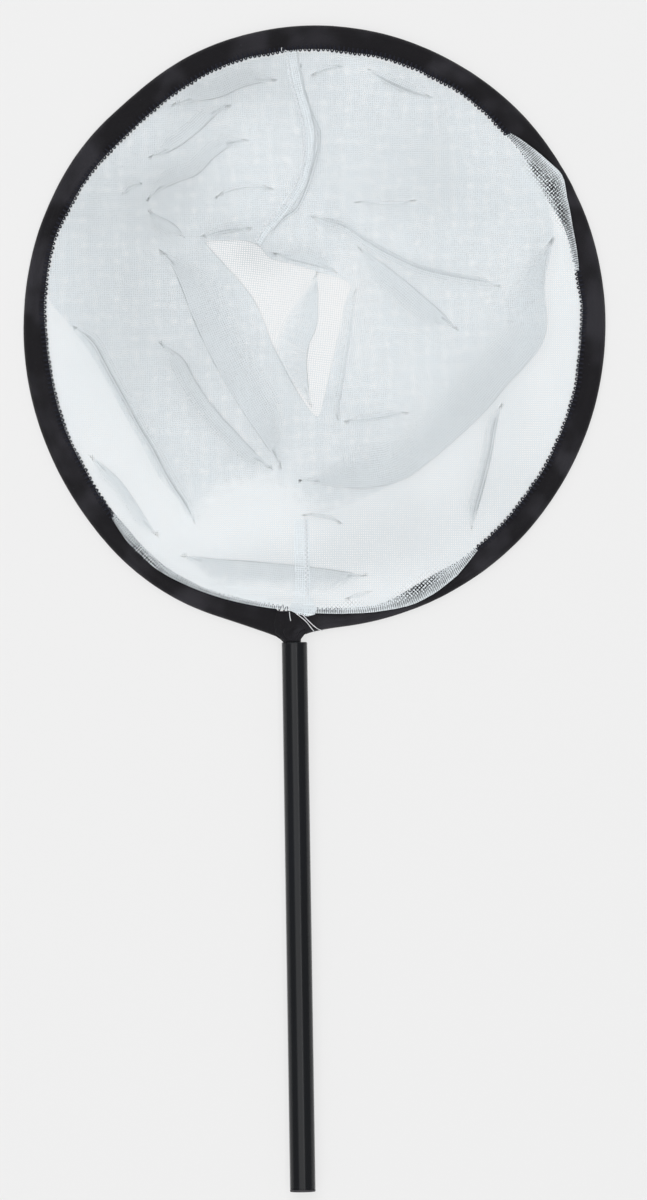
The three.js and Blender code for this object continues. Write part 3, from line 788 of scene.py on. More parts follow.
class Cloth:
    """Collects the points and triangles of the folded bag, with a place for each corner in the flat cut"""

    def __init__(self):
        self.points, self.crease, self.open, self.faces, self.corners = [], [], [], [], []
        self.count = 0

    def add(self, points, crease=0.0, openness=0.0):
        start = self.count
        self.points.append(np.asarray(points, float))
        self.crease.append(np.broadcast_to(np.asarray(crease, float), (len(points),)))
        self.open.append(np.broadcast_to(np.asarray(openness, float), (len(points),)))
        self.count += len(points)
        return start

    def add_layer(self, layer, heights, start_map, turn, thin=0.0):
        openness = np.maximum(layer.openness(layer.flat, layer.masks()), thin)
        start = self.add(np.column_stack([layer.flat, heights]), 0.0, openness)
        c, s = math.cos(turn), math.sin(turn)
        flat = layer.flat @ np.array([[c, s], [-s, c]]) * MM + start_map
        self.faces.append(layer.faces + start)
        self.corners.append(flat[layer.faces])
        return start

    def add_strip(self, rings, first, last, start_map, closed=False):
        """Faces through rings of points: first and last are numbers of points that are there already"""
        rows = [np.asarray(first)]
        for points, crease, openness in rings[1:-1]:
            rows.append(self.add(points, crease, openness) + np.arange(len(points)))
        rows.append(np.asarray(last))
        rows = np.array(rows)
        places = np.array([ring[0] for ring in rings])
        across = np.concatenate([[0], np.cumsum(np.linalg.norm(np.diff(places, axis=0), axis=2).max(axis=1))])
        along = np.concatenate([[0], np.cumsum(np.linalg.norm(np.diff(places, axis=1), axis=2).max(axis=0))])
        if closed:
            rows = np.hstack([rows, rows[:, :1]])
            along = np.append(along, along[-1] + NET_STEP)
        flat = np.stack(np.meshgrid(across, along, indexing="ij"), axis=-1)[..., ::-1] * MM + start_map
        a, b, c, d = rows[:-1, :-1], rows[:-1, 1:], rows[1:, 1:], rows[1:, :-1]
        fa, fb, fc, fd = flat[:-1, :-1], flat[:-1, 1:], flat[1:, 1:], flat[1:, :-1]
        for corners, places in (((a, b, c), (fa, fb, fc)), ((a, c, d), (fa, fc, fd))):
            faces = np.stack(corners, axis=-1).reshape(-1, 3)
            maps = np.stack(places, axis=-2).reshape(-1, 3, 2)
            good = (faces[:, 0] != faces[:, 1]) & (faces[:, 1] != faces[:, 2]) & (faces[:, 0] != faces[:, 2])
            self.faces.append(faces[good])
            self.corners.append(maps[good])
        return across[-1]


def hem_top_above(edge_distance, width):
    """Height of the hem's upper cloth, at a distance from its inner edge"""
    low = CLEARANCE + 2 * HEM_CLOTH
    return low + (2 * CASING_RADIUS - low) * np.clip(edge_distance / (width - CASING_RADIUS), 0, 1)


# Rays that look for a surface start at this height, in metres
RAY_START = 0.05


def top_of(names, flat):
    """Height of the uppermost of the named pieces at each point, 0 where there is none"""
    tops = np.zeros(len(flat))
    for name in names:
        piece = bpy.data.objects[name]
        for k, (x, y) in enumerate((flat + HOOP_CENTRE[:2]) * MM):
            hit, place, _, _ = piece.ray_cast(Vector((x, y, RAY_START)), Vector((0, 0, -1)))
            if hit:
                tops[k] = max(tops[k], place.z / MM)
    return tops


def angles_of(points):
    """Angles of points about the middle of the hoop, in degrees"""
    return np.degrees(np.arctan2(points[:, 1], points[:, 0])) % 360


def rim_lap(angle):
    """How far the net reaches over the hem at an angle"""
    return sum(np.interp(angle, *zip(*lap), left=0, right=0) for lap in RIM_LAPS)


def laps_over(angle):
    """1 where the net laps over the hem, and 0 where it doesn't"""
    return step_between(rim_lap(angle), 0.2, 1.5)


def lap_height(angle, reach):
    """Height of the hem under a lap, which climbs with the wire towards the handle"""
    return hem_top_above(reach, hem_width(angle)) + CLIMB * swell(angle, CLIMB_ANGLE, CLIMB_SPREAD)


def wander(points, low, spread, *waves):
    """An uneven height between low and about low + spread"""
    return low + spread * (1 + ripple(*points.T, *waves)) / 2


class NetShape:
    """Heights of the bag's three layers, and the bag itself"""

    def __init__(self):
        angles = np.linspace(0, 360, 330, endpoint=False)
        self.rim = polar(angles, hem_inner_radius(angles) - RIM_SEAM)[:, :2]
        self.window = smooth_line(WINDOW, NET_STEP, closed=True)
        self.edge = self.under_edge()
        self.top = Layer(self.rim, self.window, PLEATS, 3)
        self.middle = Layer(self.edge, self.window, [], 4)
        self.low = Layer(self.edge, None, LOW_PLEATS, 5)

    def fading(self, points):
        """How far the two layers underneath thin out towards their edge, most of all near the handle"""
        away = np.abs(nearest(points, self.edge, closed=True)[0])
        near = swell(angles_of(points), NEAR_FADE_ANGLE, NEAR_FADE_SPREAD)
        width = FADE_WIDTH + NEAR_FADE_WIDTH * near
        return (FADE + NEAR_FADE * near) * (1 - step_between(away, 0, width))

    def under_edge(self):
        """UNDER_EDGE where it is given, and a line just inside the rim elsewhere"""
        start = angles_of(np.array([UNDER_EDGE[0]]))[0]
        end = angles_of(np.array([UNDER_EDGE[-1]]))[0]
        angles = np.arange(end - 6, start + 6, -7)
        round_rim = polar(angles, hem_inner_radius(angles) - 2.0)[:, :2]
        return smooth_line([*UNDER_EDGE, *round_rim], NET_STEP, closed=True)

    def to_rim(self, points, heights, at_rim):
        """Heights that lead to the line where the layers are sewn to the hem"""
        from_edge = np.hypot(*points.T) - hem_inner_radius(angles_of(points))
        share = step_between(from_edge, -RIM_FADE, -RIM_SEAM)
        return heights * (1 - share) + at_rim * share

    def bed(self, points):
        """Height of the lowest layer over the floor"""
        return wander(points, BED, BED_SPREAD, 11, 45, 16)

    def low_height(self, points):
        return self.to_rim(points, self.bed(points), 0.6)

    def middle_height(self, points):
        return self.to_rim(points, self.bed(points) + LAYER_GAP + wander(points, 0, 0.3, 12, 40, 14), 0.9)

    def resting_height(self, points):
        """The upper layer rests on the two below, and on the floor where they aren't"""
        distance, _ = nearest(points, self.edge, closed=True)
        within = np.where(inside(points, self.edge), np.abs(distance), -np.abs(distance))
        share = step_between(within, -4.5, -0.8)
        stacked = self.middle_height(points) + LAYER_GAP + wander(points, 0, 0.55, 13, 34, 11)
        bare = wander(points, 0.5, 0.5, 14, 38, 12)
        return bare * (1 - share) + stacked * share

    def top_height(self, points):
        """Height of the upper layer, up to the rim"""
        return self.rim_height(points, self.resting_height(points))

    def rim_height(self, points, heights):
        """Heights that lead up on to the hem"""
        angle = angles_of(points)
        over = laps_over(angle)
        return self.to_rim(points, heights, RIM_HEIGHT * (1 - over) + (lap_height(angle, 0) + 0.9) * over)

    def surface(self, points):
        """Height of the uppermost sheet, pleats included"""
        heights = self.rim_height(points, self.resting_height(points) + self.top.rise(points))
        return heights + self.top.lift(points, len(self.top.pleats))

    def pleat_strips(self, cloth, layer, start, height, first_map):
        row = np.array(first_map, float)
        for k, pleat in enumerate(layer.pleats):
            own = np.zeros((len(layer.pleats), len(pleat.line)), bool)
            own[k] = True
            direction = pleat.line - pleat.foot
            unit = direction / np.maximum(np.linalg.norm(direction, axis=1), 1e-6)[:, None]
            rings = []
            for share, extra, level, crease, openness in PLEAT_SECTION:
                flat = pleat.foot + direction * share + unit * extra * pleat.full[:, None]
                raised = level * PLEAT_RISE + layer.lift(flat, k)
                z = height(flat) + layer.rise(flat, own) + raised * pleat.full
                fades_in = (0.35, 1.0) if level < 1.9 else (0.05, 0.4)
                see = 1 - (1 - openness) * step_between(pleat.full, *fades_in)
                rings.append((np.column_stack([flat, z]), crease * pleat.full**1.5, see))
            trimmed = [tuple(values[1:-1] for values in ring) for ring in rings]
            first, last = pleat.chain[1:-1] + start, pleat.twins[1:-1] + start
            across = cloth.add_strip(trimmed, first, last, row)
            self.close_ends(cloth, pleat, start, rings)
            row[1] += (across + 3) * MM

    def close_ends(self, cloth, pleat, start, rings):
        """Triangles from the strip's end rings to the points where the pleat runs out"""
        inner = len(rings) - 2
        first_added = cloth.count - inner * (len(pleat.line) - 2)
        ends = ((pleat.chain[0], 0, False), (pleat.chain[-1], len(pleat.line) - 3, True))
        for end, column, flip in ends:
            ids = [pleat.chain[1 + column] + start]
            ids += [first_added + r * (len(pleat.line) - 2) + column for r in range(inner)]
            ids.append(pleat.twins[1 + column] + start)
            tip = cloth.add(np.vstack(cloth.points)[[end + start]], 0.0, 1.0)
            faces = np.array([(tip, a, b) if flip else (tip, b, a) for a, b in zip(ids[:-1], ids[1:])])
            cloth.faces.append(faces)
            cloth.corners.append(np.vstack(cloth.points)[faces][..., :2] * MM + TOP_MAP)

    def build(self):
        cloth = Cloth()
        low, middle, top = self.low, self.middle, self.top
        low_at = cloth.add_layer(
            low, self.layer_heights(low, self.low_height), LOW_MAP, LOW_TURN, self.thinned(low.flat)
        )
        middle_at = cloth.add_layer(
            middle, self.middle_height(middle.flat), MIDDLE_MAP, MIDDLE_TURN, self.thinned(middle.flat)
        )
        top_at = cloth.add_layer(top, self.layer_heights(top, self.top_height), TOP_MAP, 0.0)
        self.pleat_strips(cloth, low, low_at, self.low_height, LOW_PLEAT_MAP)
        self.pleat_strips(cloth, top, top_at, self.top_height, TOP_PLEAT_MAP)
        points = np.vstack(cloth.points)
        self.turn_under(cloth, points, top.hole + top_at, middle.hole + middle_at, -1, WINDOW_MAP)
        self.turn_under(cloth, points, middle.outer + middle_at, low.outer + low_at, 1, UNDER_EDGE_MAP)
        self.turn_rim(cloth, points, top.outer + top_at, RIM_MAP)
        return cloth

    def thinned(self, points):
        """How open the mesh of the two layers underneath is"""
        return np.maximum(LOW_THIN, self.fading(points))

    def layer_heights(self, layer, height):
        return height(layer.flat) + layer.rise(layer.flat, layer.masks())

    def turn_under(self, cloth, points, first, last, outward, start_map):
        """A round edge that joins an upper layer to a lower one along the same line"""
        upper, lower = points[first], points[last]
        ahead = np.roll(upper, -1, axis=0) - np.roll(upper, 1, axis=0)
        away = np.column_stack([ahead[:, 1], -ahead[:, 0], np.zeros(len(ahead))])
        away /= np.linalg.norm(away, axis=1)[:, None]
        area = (upper[:, 0] * np.roll(upper[:, 1], -1) - np.roll(upper[:, 0], -1) * upper[:, 1]).sum()
        away *= outward * math.copysign(1, area)
        fade = self.fading(upper[:, :2]) * (outward > 0)
        rings = [(upper, 0.0, 0.0)]
        for share, reach, crease in EDGE_SECTION:
            rings.append((upper * (1 - share) + lower * share + away * reach, crease * (1 - fade), fade))
        rings.append((lower, 0.0, 0.0))
        cloth.add_strip(rings, first, last, start_map, closed=True)

    def turn_rim(self, cloth, points, first, start_map):
        """The rim: over the hem where it is slack, and back to the stitches between the hem's two edges"""
        rim = points[first]
        angle = angles_of(rim[:, :2])
        lap, inner = rim_lap(angle), hem_inner_radius(angle)
        over = laps_over(angle)
        rings = [(rim, 0.0, 0.0)]
        for share, gap, crease, openness in RIM_SECTION:
            z = lap_height(angle, share * lap) + gap + 0.12 * ripple(angle * 2.5, share * lap, 15, 9, 4)
            place = polar(angle, inner + 0.1 + share * lap, RIM_HEIGHT * (1 - over) + z * over)
            rings.append((place, crease * over, openness * over))
        sewn = polar(angle, inner + 1.2, RIM_HEIGHT)
        rings.append((sewn, 0 * angle, 0 * angle))
        cloth.add_strip(rings, first, cloth.add(sewn) + np.arange(len(sewn)), start_map, closed=True)


def split_panels(cloth, pleats, names):
    """The bag's two panels, parted along the seam line"""
    points = np.vstack(cloth.points)
    crease, openness = np.concatenate(cloth.crease), np.concatenate(cloth.open)
    faces = np.vstack(cloth.faces)
    corners = np.vstack(cloth.corners)
    seam = smooth_line(SEAM_LINE, 3)
    centre = points[faces].mean(axis=1)[:, :2]
    right_side = nearest(centre, seam)[0] > 0
    banding = np.zeros(len(points))
    for pleat in pleats:
        distance, width, full = pleat.near(points[:, :2])
        across = (distance + 0.5 * width) / (0.5 * width + BAND_EDGE)
        amount = BAND * full * np.minimum(1, BAND_WIDTH / np.maximum(width, 1))
        banding = np.maximum(banding, amount * np.exp(-(across**2)))
    made = []
    for name, chosen in zip(names, (~right_side, right_side)):
        used, again = np.unique(faces[chosen], return_inverse=True)
        piece = new_object(name, points[used], again.reshape(-1, 3))
        put_map(piece, "cut", corners[chosen].reshape(-1, 2))
        put_value(piece, "crease", crease[used])
        put_value(piece, "open", openness[used])
        put_value(piece, "holes", np.clip(spread_over(points[used], THIN) * THIN_CONTRAST, 0, 1))
        put_value(piece, "bunch", spread_over(points[used], BUNCHES + LAPPED) + banding[used])
        # Painted shade for the net's colour: bunched places and bands along the pleats
        put_value(piece, "tone", spread_over(points[used], BUNCHES) + banding[used])
        agree_faces(piece)
        made.append(piece)
    return made


# Materials

# Softness of a thread's edge, as a share of the pitch
THREAD_EDGE = 0.09
# Waves of the spots through which the hem shows where the net is stretched: one every 2 mm
DOTS = math.tau / 0.002
# Threads of the black cloth, one every 0.42 mm
CLOTH_THREADS = math.tau / 0.00042


def net_material(name, settings, cover=0.24, pale=1.0):
    """Fine see-through mesh: threads both ways, with open squares that close where it is bunched, and painted
    shade darkening its colour in bunched places, along pleats and in creases
    """
    tree = Tree(bpy.data.materials.new(name))
    flat = tree.map("cut")
    warp = tree.noise(flat, 70.0, 1.0)
    u, v, _ = tree.parts(flat)
    pitch = settings.mesh_pitch
    cloud = tree.noise(tree.place((1.0, 0.6, 1.0)), 24.0, 3.0)
    streak = tree.noise(tree.place((2.6, 0.8, 1.0), (0, 0, 0.5)), 30.0, 2.0)
    # The crease attribute closes the mesh and darkens the colour along folds, as painted shade
    crease = tree.attribute("crease")
    bunch = tree.attribute("bunch") + (cloud - 0.5) * 1.3 + (streak - 0.5) * 0.9 + crease * 0.5
    fade = tree.attribute("open")
    specks = tree.noise(tree.place(), 700.0, 2.0)
    level = tree.place((1, 1, 0))
    east, north, _ = tree.parts(level)
    dots = tree.sine(east * DOTS) * tree.sine(north * DOTS) + (tree.noise(level, 800.0, 1.0) - 0.5) * 1.8
    half = cover * 0.5 * (1 + bunch) * (1 - fade) - THREAD_EDGE * fade + (specks - 0.5) * 0.26 * (1 - fade)
    threads = []
    for along in (u, v):
        place = tree.maths("FRACT", along / pitch + warp * 1.2)
        threads.append(1 - tree.ramp(tree.maths("ABSOLUTE", place - 0.5), half, half + THREAD_EDGE))
    weave = tree.maths("MAXIMUM", threads[0], threads[1])
    weave = weave * (1 - tree.ramp(dots, -0.25, 0.05) * tree.attribute("holes"))
    # Painted shade darkens the colour in bunched places, along pleats and in creases, with a random cloudy
    # tone on top
    tone = tree.attribute("tone") * 0.8 + (cloud - 0.5) * 0.5 + crease * 0.3
    shade = tree.mix(tone, rgba(settings.net_colour, pale), rgba(settings.net_colour, 0.72))
    tree.bump(weave, 0.0002, 0.3)
    return tree.finish(Base_Color=shade, Alpha=weave, Roughness=0.8, Specular_IOR_Level=0.1)


def cloth_material(name, settings):
    """Close black weave with a soft sheen, pale patches of painted sheen and some lint"""
    tree = Tree(bpy.data.materials.new(name))
    flat = tree.map("weave")
    u, v, _ = tree.parts(flat)
    over = tree.sine(u * CLOTH_THREADS) * tree.sine(v * CLOTH_THREADS)
    slub = tree.noise(tree.place(), 900.0, 3.0)
    painted_sheen = tree.noise(tree.place(), 38.0, 2.0)
    # Pale patches painted into the colour as sheen
    base, pale = rgba(settings.cloth_colour), rgba((0.03, 0.029, 0.035))
    colour = tree.mix(tree.ramp(painted_sheen, 0.42, 0.68) * 0.9, base, pale)
    colour = tree.mix(tree.ramp(slub, 0.66, 0.8) * 0.3, colour, rgba((0.06, 0.06, 0.075)))
    tree.bump(over * 0.5 + slub, 0.00012, 0.8)
    return tree.finish(
        Base_Color=colour, Roughness=0.7 + 0.2 * over, Sheen_Weight=0.1, Sheen_Roughness=0.5,
        Specular_IOR_Level=0.12,
    )


def thread_material(name, colour, pale):
    tree = Tree(bpy.data.materials.new(name))
    fibre = tree.noise(tree.place((1, 1, 1)), 2600.0, 2.0)
    tree.bump(fibre, 0.0001, 0.6)
    shade = tree.mix(tree.ramp(fibre, 0.3, 0.8) * 0.5, rgba(colour), rgba(pale))
    return tree.finish(Base_Color=shade, Roughness=0.65 + 0.2 * fibre, Specular_IOR_Level=0.3)


def paint_material(name, settings):
    """Satin black paint with faint long rub marks"""
    tree = Tree(bpy.data.materials.new(name))
    drawn = tree.noise(tree.place((60, 1.2, 60)), 14.0, 4.0)
    speck = tree.noise(tree.place(), 1300.0, 2.0)
    cool = tree.noise(tree.place((1, 0.2, 1)), 30.0, 1.0)
    colour = tree.mix(tree.ramp(cool, 0.35, 0.7), rgba(settings.paint_colour), rgba((0.0085, 0.0095, 0.0125)))
    rough = 0.13 + 0.1 * drawn + 0.04 * speck
    tree.bump(drawn * 0.4 + speck, 0.00002, 0.3)
    return tree.finish(Base_Color=colour, Roughness=rough, Specular_IOR_Level=0.24)


def plastic_material(name):
    tree = Tree(bpy.data.materials.new(name))
    grain = tree.noise(tree.place(), 1500.0, 3.0)
    tree.bump(grain, 0.00008, 0.5)
    colour = tree.mix(grain, rgba((0.02, 0.019, 0.022)), rgba((0.045, 0.04, 0.05)))
    return tree.finish(Base_Color=colour, Roughness=0.5 + 0.2 * grain)


def steel_material(name):
    tree = Tree(bpy.data.materials.new(name))
    drawn = tree.noise(tree.place((200, 200, 10)), 6.0, 3.0)
    tree.bump(drawn, 0.00003, 0.4)
    colour = tree.mix(drawn, rgba((0.42, 0.42, 0.43)), rgba((0.62, 0.62, 0.62)))
    return tree.finish(Base_Color=colour, Roughness=0.25 + 0.2 * drawn, Metallic=1.0)


def put_material(piece, material):
    piece.data.materials.clear()
    piece.data.materials.append(material)


# Geometry Nodes


class Graph:
    """Builds a node tree for shapes that repeat along a path"""

    def __init__(self, name, inputs):
        self.tree = bpy.data.node_groups.new(name, "GeometryNodeTree")
        self.tree.interface.new_socket("Geometry", in_out="INPUT", socket_type="NodeSocketGeometry")
        for label, kind in inputs:
            self.tree.interface.new_socket(label, in_out="INPUT", socket_type=kind)
        self.tree.interface.new_socket("Geometry", in_out="OUTPUT", socket_type="NodeSocketGeometry")
        self.start = self.tree.nodes.new("NodeGroupInput")
        self.end = self.tree.nodes.new("NodeGroupOutput")

    def node(self, kind, settings=(), **values):
        made = self.tree.nodes.new(kind)
        for key, value in dict(settings).items():
            setattr(made, key, value)
        for key, value in values.items():
            socket = made.inputs[key.replace("_", " ")]
            if isinstance(value, bpy.types.NodeSocket):
                self.tree.links.new(value, socket)
            else:
                socket.default_value = value
        return made

    def finish(self, geometry_socket, material):
        """Realises instances, sets the material and ends the tree"""
        real = self.node("GeometryNodeRealizeInstances", Geometry=geometry_socket)
        coloured = self.node("GeometryNodeSetMaterial", Geometry=real.outputs[0], Material=material)
        self.tree.links.new(coloured.outputs[0], self.end.inputs[0])

    def attach(self, piece, **values):
        """Gives a piece the tree as a modifier, with the tree's named inputs"""
        modifier = piece.modifiers.new(self.tree.name, "NODES")
        modifier.node_group = self.tree
        for item in self.tree.interface.items_tree:
            key = item.name.replace(" ", "_")
            if item.in_out == "INPUT" and key in values:
                modifier[item.identifier] = values[key]


def path_curve(name, lines, centred=True):
    """A curve through one or more lines of points in millimetres"""
    curve = bpy.data.curves.new(name, "CURVE")
    curve.dimensions = "3D"
    for line in lines:
        points = (np.asarray(line, float) + (HOOP_CENTRE if centred else 0)) * MM
        spline = curve.splines.new("POLY")
        spline.points.add(len(points) - 1)
        spline.points.foreach_set("co", np.column_stack([points, np.ones(len(points))]).ravel())
    made = bpy.data.objects.new(name, curve)
    bpy.context.scene.collection.objects.link(made)
    return made


# The thread's profile, and how much the stitches' sizes differ
THREAD_SIDES = 6
STITCH_SIZES = (0.85, 1.15)


def stitched_row(name, points, stitch, pitch, radius, material, seed):
    """Stitches one pitch apart along a path. stitch is the thread's own path: along, to the left, up"""
    path = path_curve(name + "_path", [points])
    loop = path_curve(name + "_loop", [stitch], centred=False)
    inputs = [("Pitch", "NodeSocketFloat"), ("Thread radius", "NodeSocketFloat"), ("Seed", "NodeSocketInt")]
    graph = Graph(name, inputs)
    given = graph.start.outputs
    held = graph.node("GeometryNodeObjectInfo", Object=path)
    shape = graph.node("GeometryNodeObjectInfo", Object=loop)
    even = graph.node(
        "GeometryNodeResampleCurve", {"mode": "LENGTH"}, Curve=held.outputs["Geometry"], Length=given["Pitch"]
    )
    ring = graph.node(
        "GeometryNodeCurvePrimitiveCircle", Resolution=THREAD_SIDES, Radius=given["Thread radius"]
    )
    thread = graph.node(
        "GeometryNodeCurveToMesh", Curve=shape.outputs["Geometry"], Profile_Curve=ring.outputs["Curve"],
        Fill_Caps=True,
    )
    tangent = graph.node("GeometryNodeInputTangent")
    ahead = graph.node("FunctionNodeAlignRotationToVector", {"axis": "X"}, Vector=tangent.outputs[0])
    turn = graph.node(
        "FunctionNodeAlignRotationToVector", {"axis": "Z", "pivot_axis": "X"}, Rotation=ahead.outputs[0],
        Vector=(0, 0, 1),
    )
    size = graph.node("FunctionNodeRandomValue", {"data_type": "FLOAT"}, Seed=given["Seed"])
    size.inputs[2].default_value, size.inputs[3].default_value = STITCH_SIZES
    placed = graph.node(
        "GeometryNodeInstanceOnPoints", Points=even.outputs[0], Instance=thread.outputs[0],
        Rotation=turn.outputs[0], Scale=size.outputs[1],
    )
    smooth = graph.node("GeometryNodeSetShadeSmooth", Geometry=placed.outputs[0])
    graph.finish(smooth.outputs[0], material)
    piece = new_object(name, [(0, 0, 0)], [])
    graph.attach(piece, Pitch=pitch, Seed=seed, Thread_radius=radius)
    bake(piece)
    for helper in (path, loop):
        bpy.data.objects.remove(helper)
    put_material(piece, material)
    return piece


# Operators

# Share of the floor's tone that the camera sees as even, without shadow, and the tone
EVEN_FLOOR = 0.82
FLOOR_TONE, FLOOR_GLOW, PAINTED_FLOOR = 0.871, 0.965, 0.868
FLOOR_SIDE = 3000

# A long lens straight above the net, whose frame is as high as the photo's
LENS, SENSOR = 250, 36
FRAME_HEIGHT = 0.6
CAMERA_PLACE, CAMERA_TURN = (0.0024, 0.0040), -0.872

# The softbox and the bright strip at its edge: where each begins and ends, as a lean from straight above
SOFTBOX = ((-0.56, -0.48), (0.25, 0.31))
STRIP = ((0.25, 0.28), (0.33, 0.36))
ROOM_LIGHT, SOFTBOX_LIGHT, STRIP_LIGHT = 0.31, 1.5, 3.6
LAMP_PLACE, LAMP_SIZE, LAMP_POWER = (-0.5, 0.5, 1.2), 0.9, 2.5


class SCOOPNET_OT_stage(bpy.types.Operator):
    """Pale floor, soft light and the camera above the net"""

    bl_idname = "scoop_net.stage"
    bl_label = "Stage and camera"

    def execute(self, context):
        scene = context.scene
        corners = np.array([(-1, -1, 0), (1, -1, 0), (1, 1, 0), (-1, 1, 0)]) * FLOOR_SIDE
        floor = new_object("floor", corners, [range(4)], centred=False)
        put_material(floor, self.floor_material())
        self.light(scene)
        self.lamp(scene)
        camera = bpy.data.cameras.new("camera")
        camera.sensor_width = SENSOR
        camera.sensor_fit = "AUTO"
        camera.lens = LENS
        holder = bpy.data.objects.new("camera", camera)
        scene.collection.objects.link(holder)
        holder.location = (*CAMERA_PLACE, FRAME_HEIGHT * LENS / SENSOR)
        holder.rotation_euler = (0, 0, math.radians(CAMERA_TURN))
        scene.camera = holder
        scene.view_settings.view_transform = "Standard"
        scene.cycles.transparent_max_bounces = 32
        scene.cycles.max_bounces = 14
        scene.cycles.diffuse_bounces = 8
        return {"FINISHED"}

    def floor_material(self):
        """Plain pale floor that the camera sees mostly as an even tone, with a light shadow"""
        tree = Tree(bpy.data.materials.new("pale_floor"))
        plain = tree.finish(Base_Color=(*[PAINTED_FLOOR] * 3, 1), Roughness=0.95, Specular_IOR_Level=0.0)
        even = tree.node("ShaderNodeEmission", {}, {"Color": (*[FLOOR_TONE] * 3, 1), "Strength": FLOOR_GLOW})
        seen = tree.node("ShaderNodeLightPath", output="Is Camera Ray")
        values = {0: seen * EVEN_FLOOR, 1: Value(tree, tree.shader.outputs[0]), 2: even}
        mix = tree.node("ShaderNodeMixShader", {}, values)
        tree.links.new(mix.socket, tree.nodes["Material Output"].inputs["Surface"])
        return plain

    def light(self, scene):
        """A long softbox overhead in a dimmer room, and a pale backdrop where the camera sees it"""
        tree = Tree(bpy.data.worlds.new("studio"))
        back = tree.nodes["Background"]
        x, _, z = tree.parts(tree.node("ShaderNodeTexCoord", output="Generated"))
        lean = x / tree.maths("SQRT", x * x + z * z + 0.0001)
        box, strip = (tree.ramp(lean, *begins) - tree.ramp(lean, *ends) for begins, ends in (SOFTBOX, STRIP))
        room = ROOM_LIGHT + (box * SOFTBOX_LIGHT + strip * STRIP_LIGHT) * tree.ramp(z, 0.0, 0.1)
        seen = tree.node("ShaderNodeLightPath", output="Is Camera Ray")
        tree.set(back.inputs["Strength"], room * (1 - seen) + FLOOR_TONE * seen)
        tree.set(back.inputs["Color"], (1, 1, 1, 1))
        scene.world = tree.owner

    def lamp(self, scene):
        data = bpy.data.lights.new("soft_lamp", "AREA")
        data.shape = "RECTANGLE"
        data.size = data.size_y = LAMP_SIZE
        data.energy = LAMP_POWER
        lamp = bpy.data.objects.new("soft_lamp", data)
        lamp.location = LAMP_PLACE
        lamp.visible_camera = False
        lamp.rotation_euler = Vector(LAMP_PLACE).to_track_quat("Z", "Y").to_euler()
        scene.collection.objects.link(lamp)


# Smoothing of the CAD's faces: points nearer than this are joined, and edges sharper than this stay sharp
JOIN_DISTANCE, SHARP_ANGLE = 0.00001, 40


class SCOOPNET_OT_handle(bpy.types.Operator):
    """Paint on the handle tube, plastic on its plugs and drawn steel on the wire"""

    bl_idname = "scoop_net.handle"
    bl_label = "Handle, plugs and wire"

    def execute(self, context):
        settings = context.scene.scoop_net
        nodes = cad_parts
        plastic = plastic_material("black_plastic")
        put_material(nodes["handle_tube"], paint_material("satin_black_paint", settings))
        put_material(nodes["butt_plug"], plastic)
        put_material(nodes["leg_plug"], plastic)
        put_material(nodes["hoop_wire"], steel_material("drawn_steel"))
        graph = self.round_faces()
        for name in ("handle_tube", "butt_plug", "leg_plug", "hoop_wire"):
            graph.attach(nodes[name], Join=JOIN_DISTANCE, Sharp=math.radians(SHARP_ANGLE))
        return {"FINISHED"}

    def round_faces(self):
        """Smooth shading except at sharp edges"""
        graph = Graph("round_faces", [("Join", "NodeSocketFloat"), ("Sharp", "NodeSocketFloat")])
        given = graph.start.outputs
        joined = graph.node("GeometryNodeMergeByDistance", Geometry=given["Geometry"], Distance=given["Join"])
        angle = graph.node("GeometryNodeInputMeshEdgeAngle")
        flat = graph.node(
            "FunctionNodeCompare", {"operation": "LESS_THAN"}, A=angle.outputs[0], B=given["Sharp"]
        )
        faces = graph.node("GeometryNodeSetShadeSmooth", {"domain": "FACE"}, Geometry=joined.outputs[0])
        edges = graph.node(
            "GeometryNodeSetShadeSmooth", {"domain": "EDGE"}, Geometry=faces.outputs[0],
            Shade_Smooth=flat.outputs[0],
        )
        graph.tree.links.new(edges.outputs[0], graph.end.inputs[0])
        return graph


# Points across the hem: its lower cloth, the turn round the wire, and its upper cloth
UNDER_POINTS, TURN_POINTS, OVER_POINTS = 6, 10, 10
HEM_STEP = 1.7
# The hem narrows over this distance towards its end at the neck
HEM_TAPER = 14
# Heights of the cloth's small puckers, of the drags across it and of its wide lumps, and how far it sags
PUCKER, DRAG, LUMP, SAG = 0.22, 0.34, 0.12, 0.7


def edge_waver(along):
    """How far the hem's edge wanders, at a distance along the wire"""
    return 0.5 * float(ripple(np.array(along), np.array(0.0), 21, 60, 9))


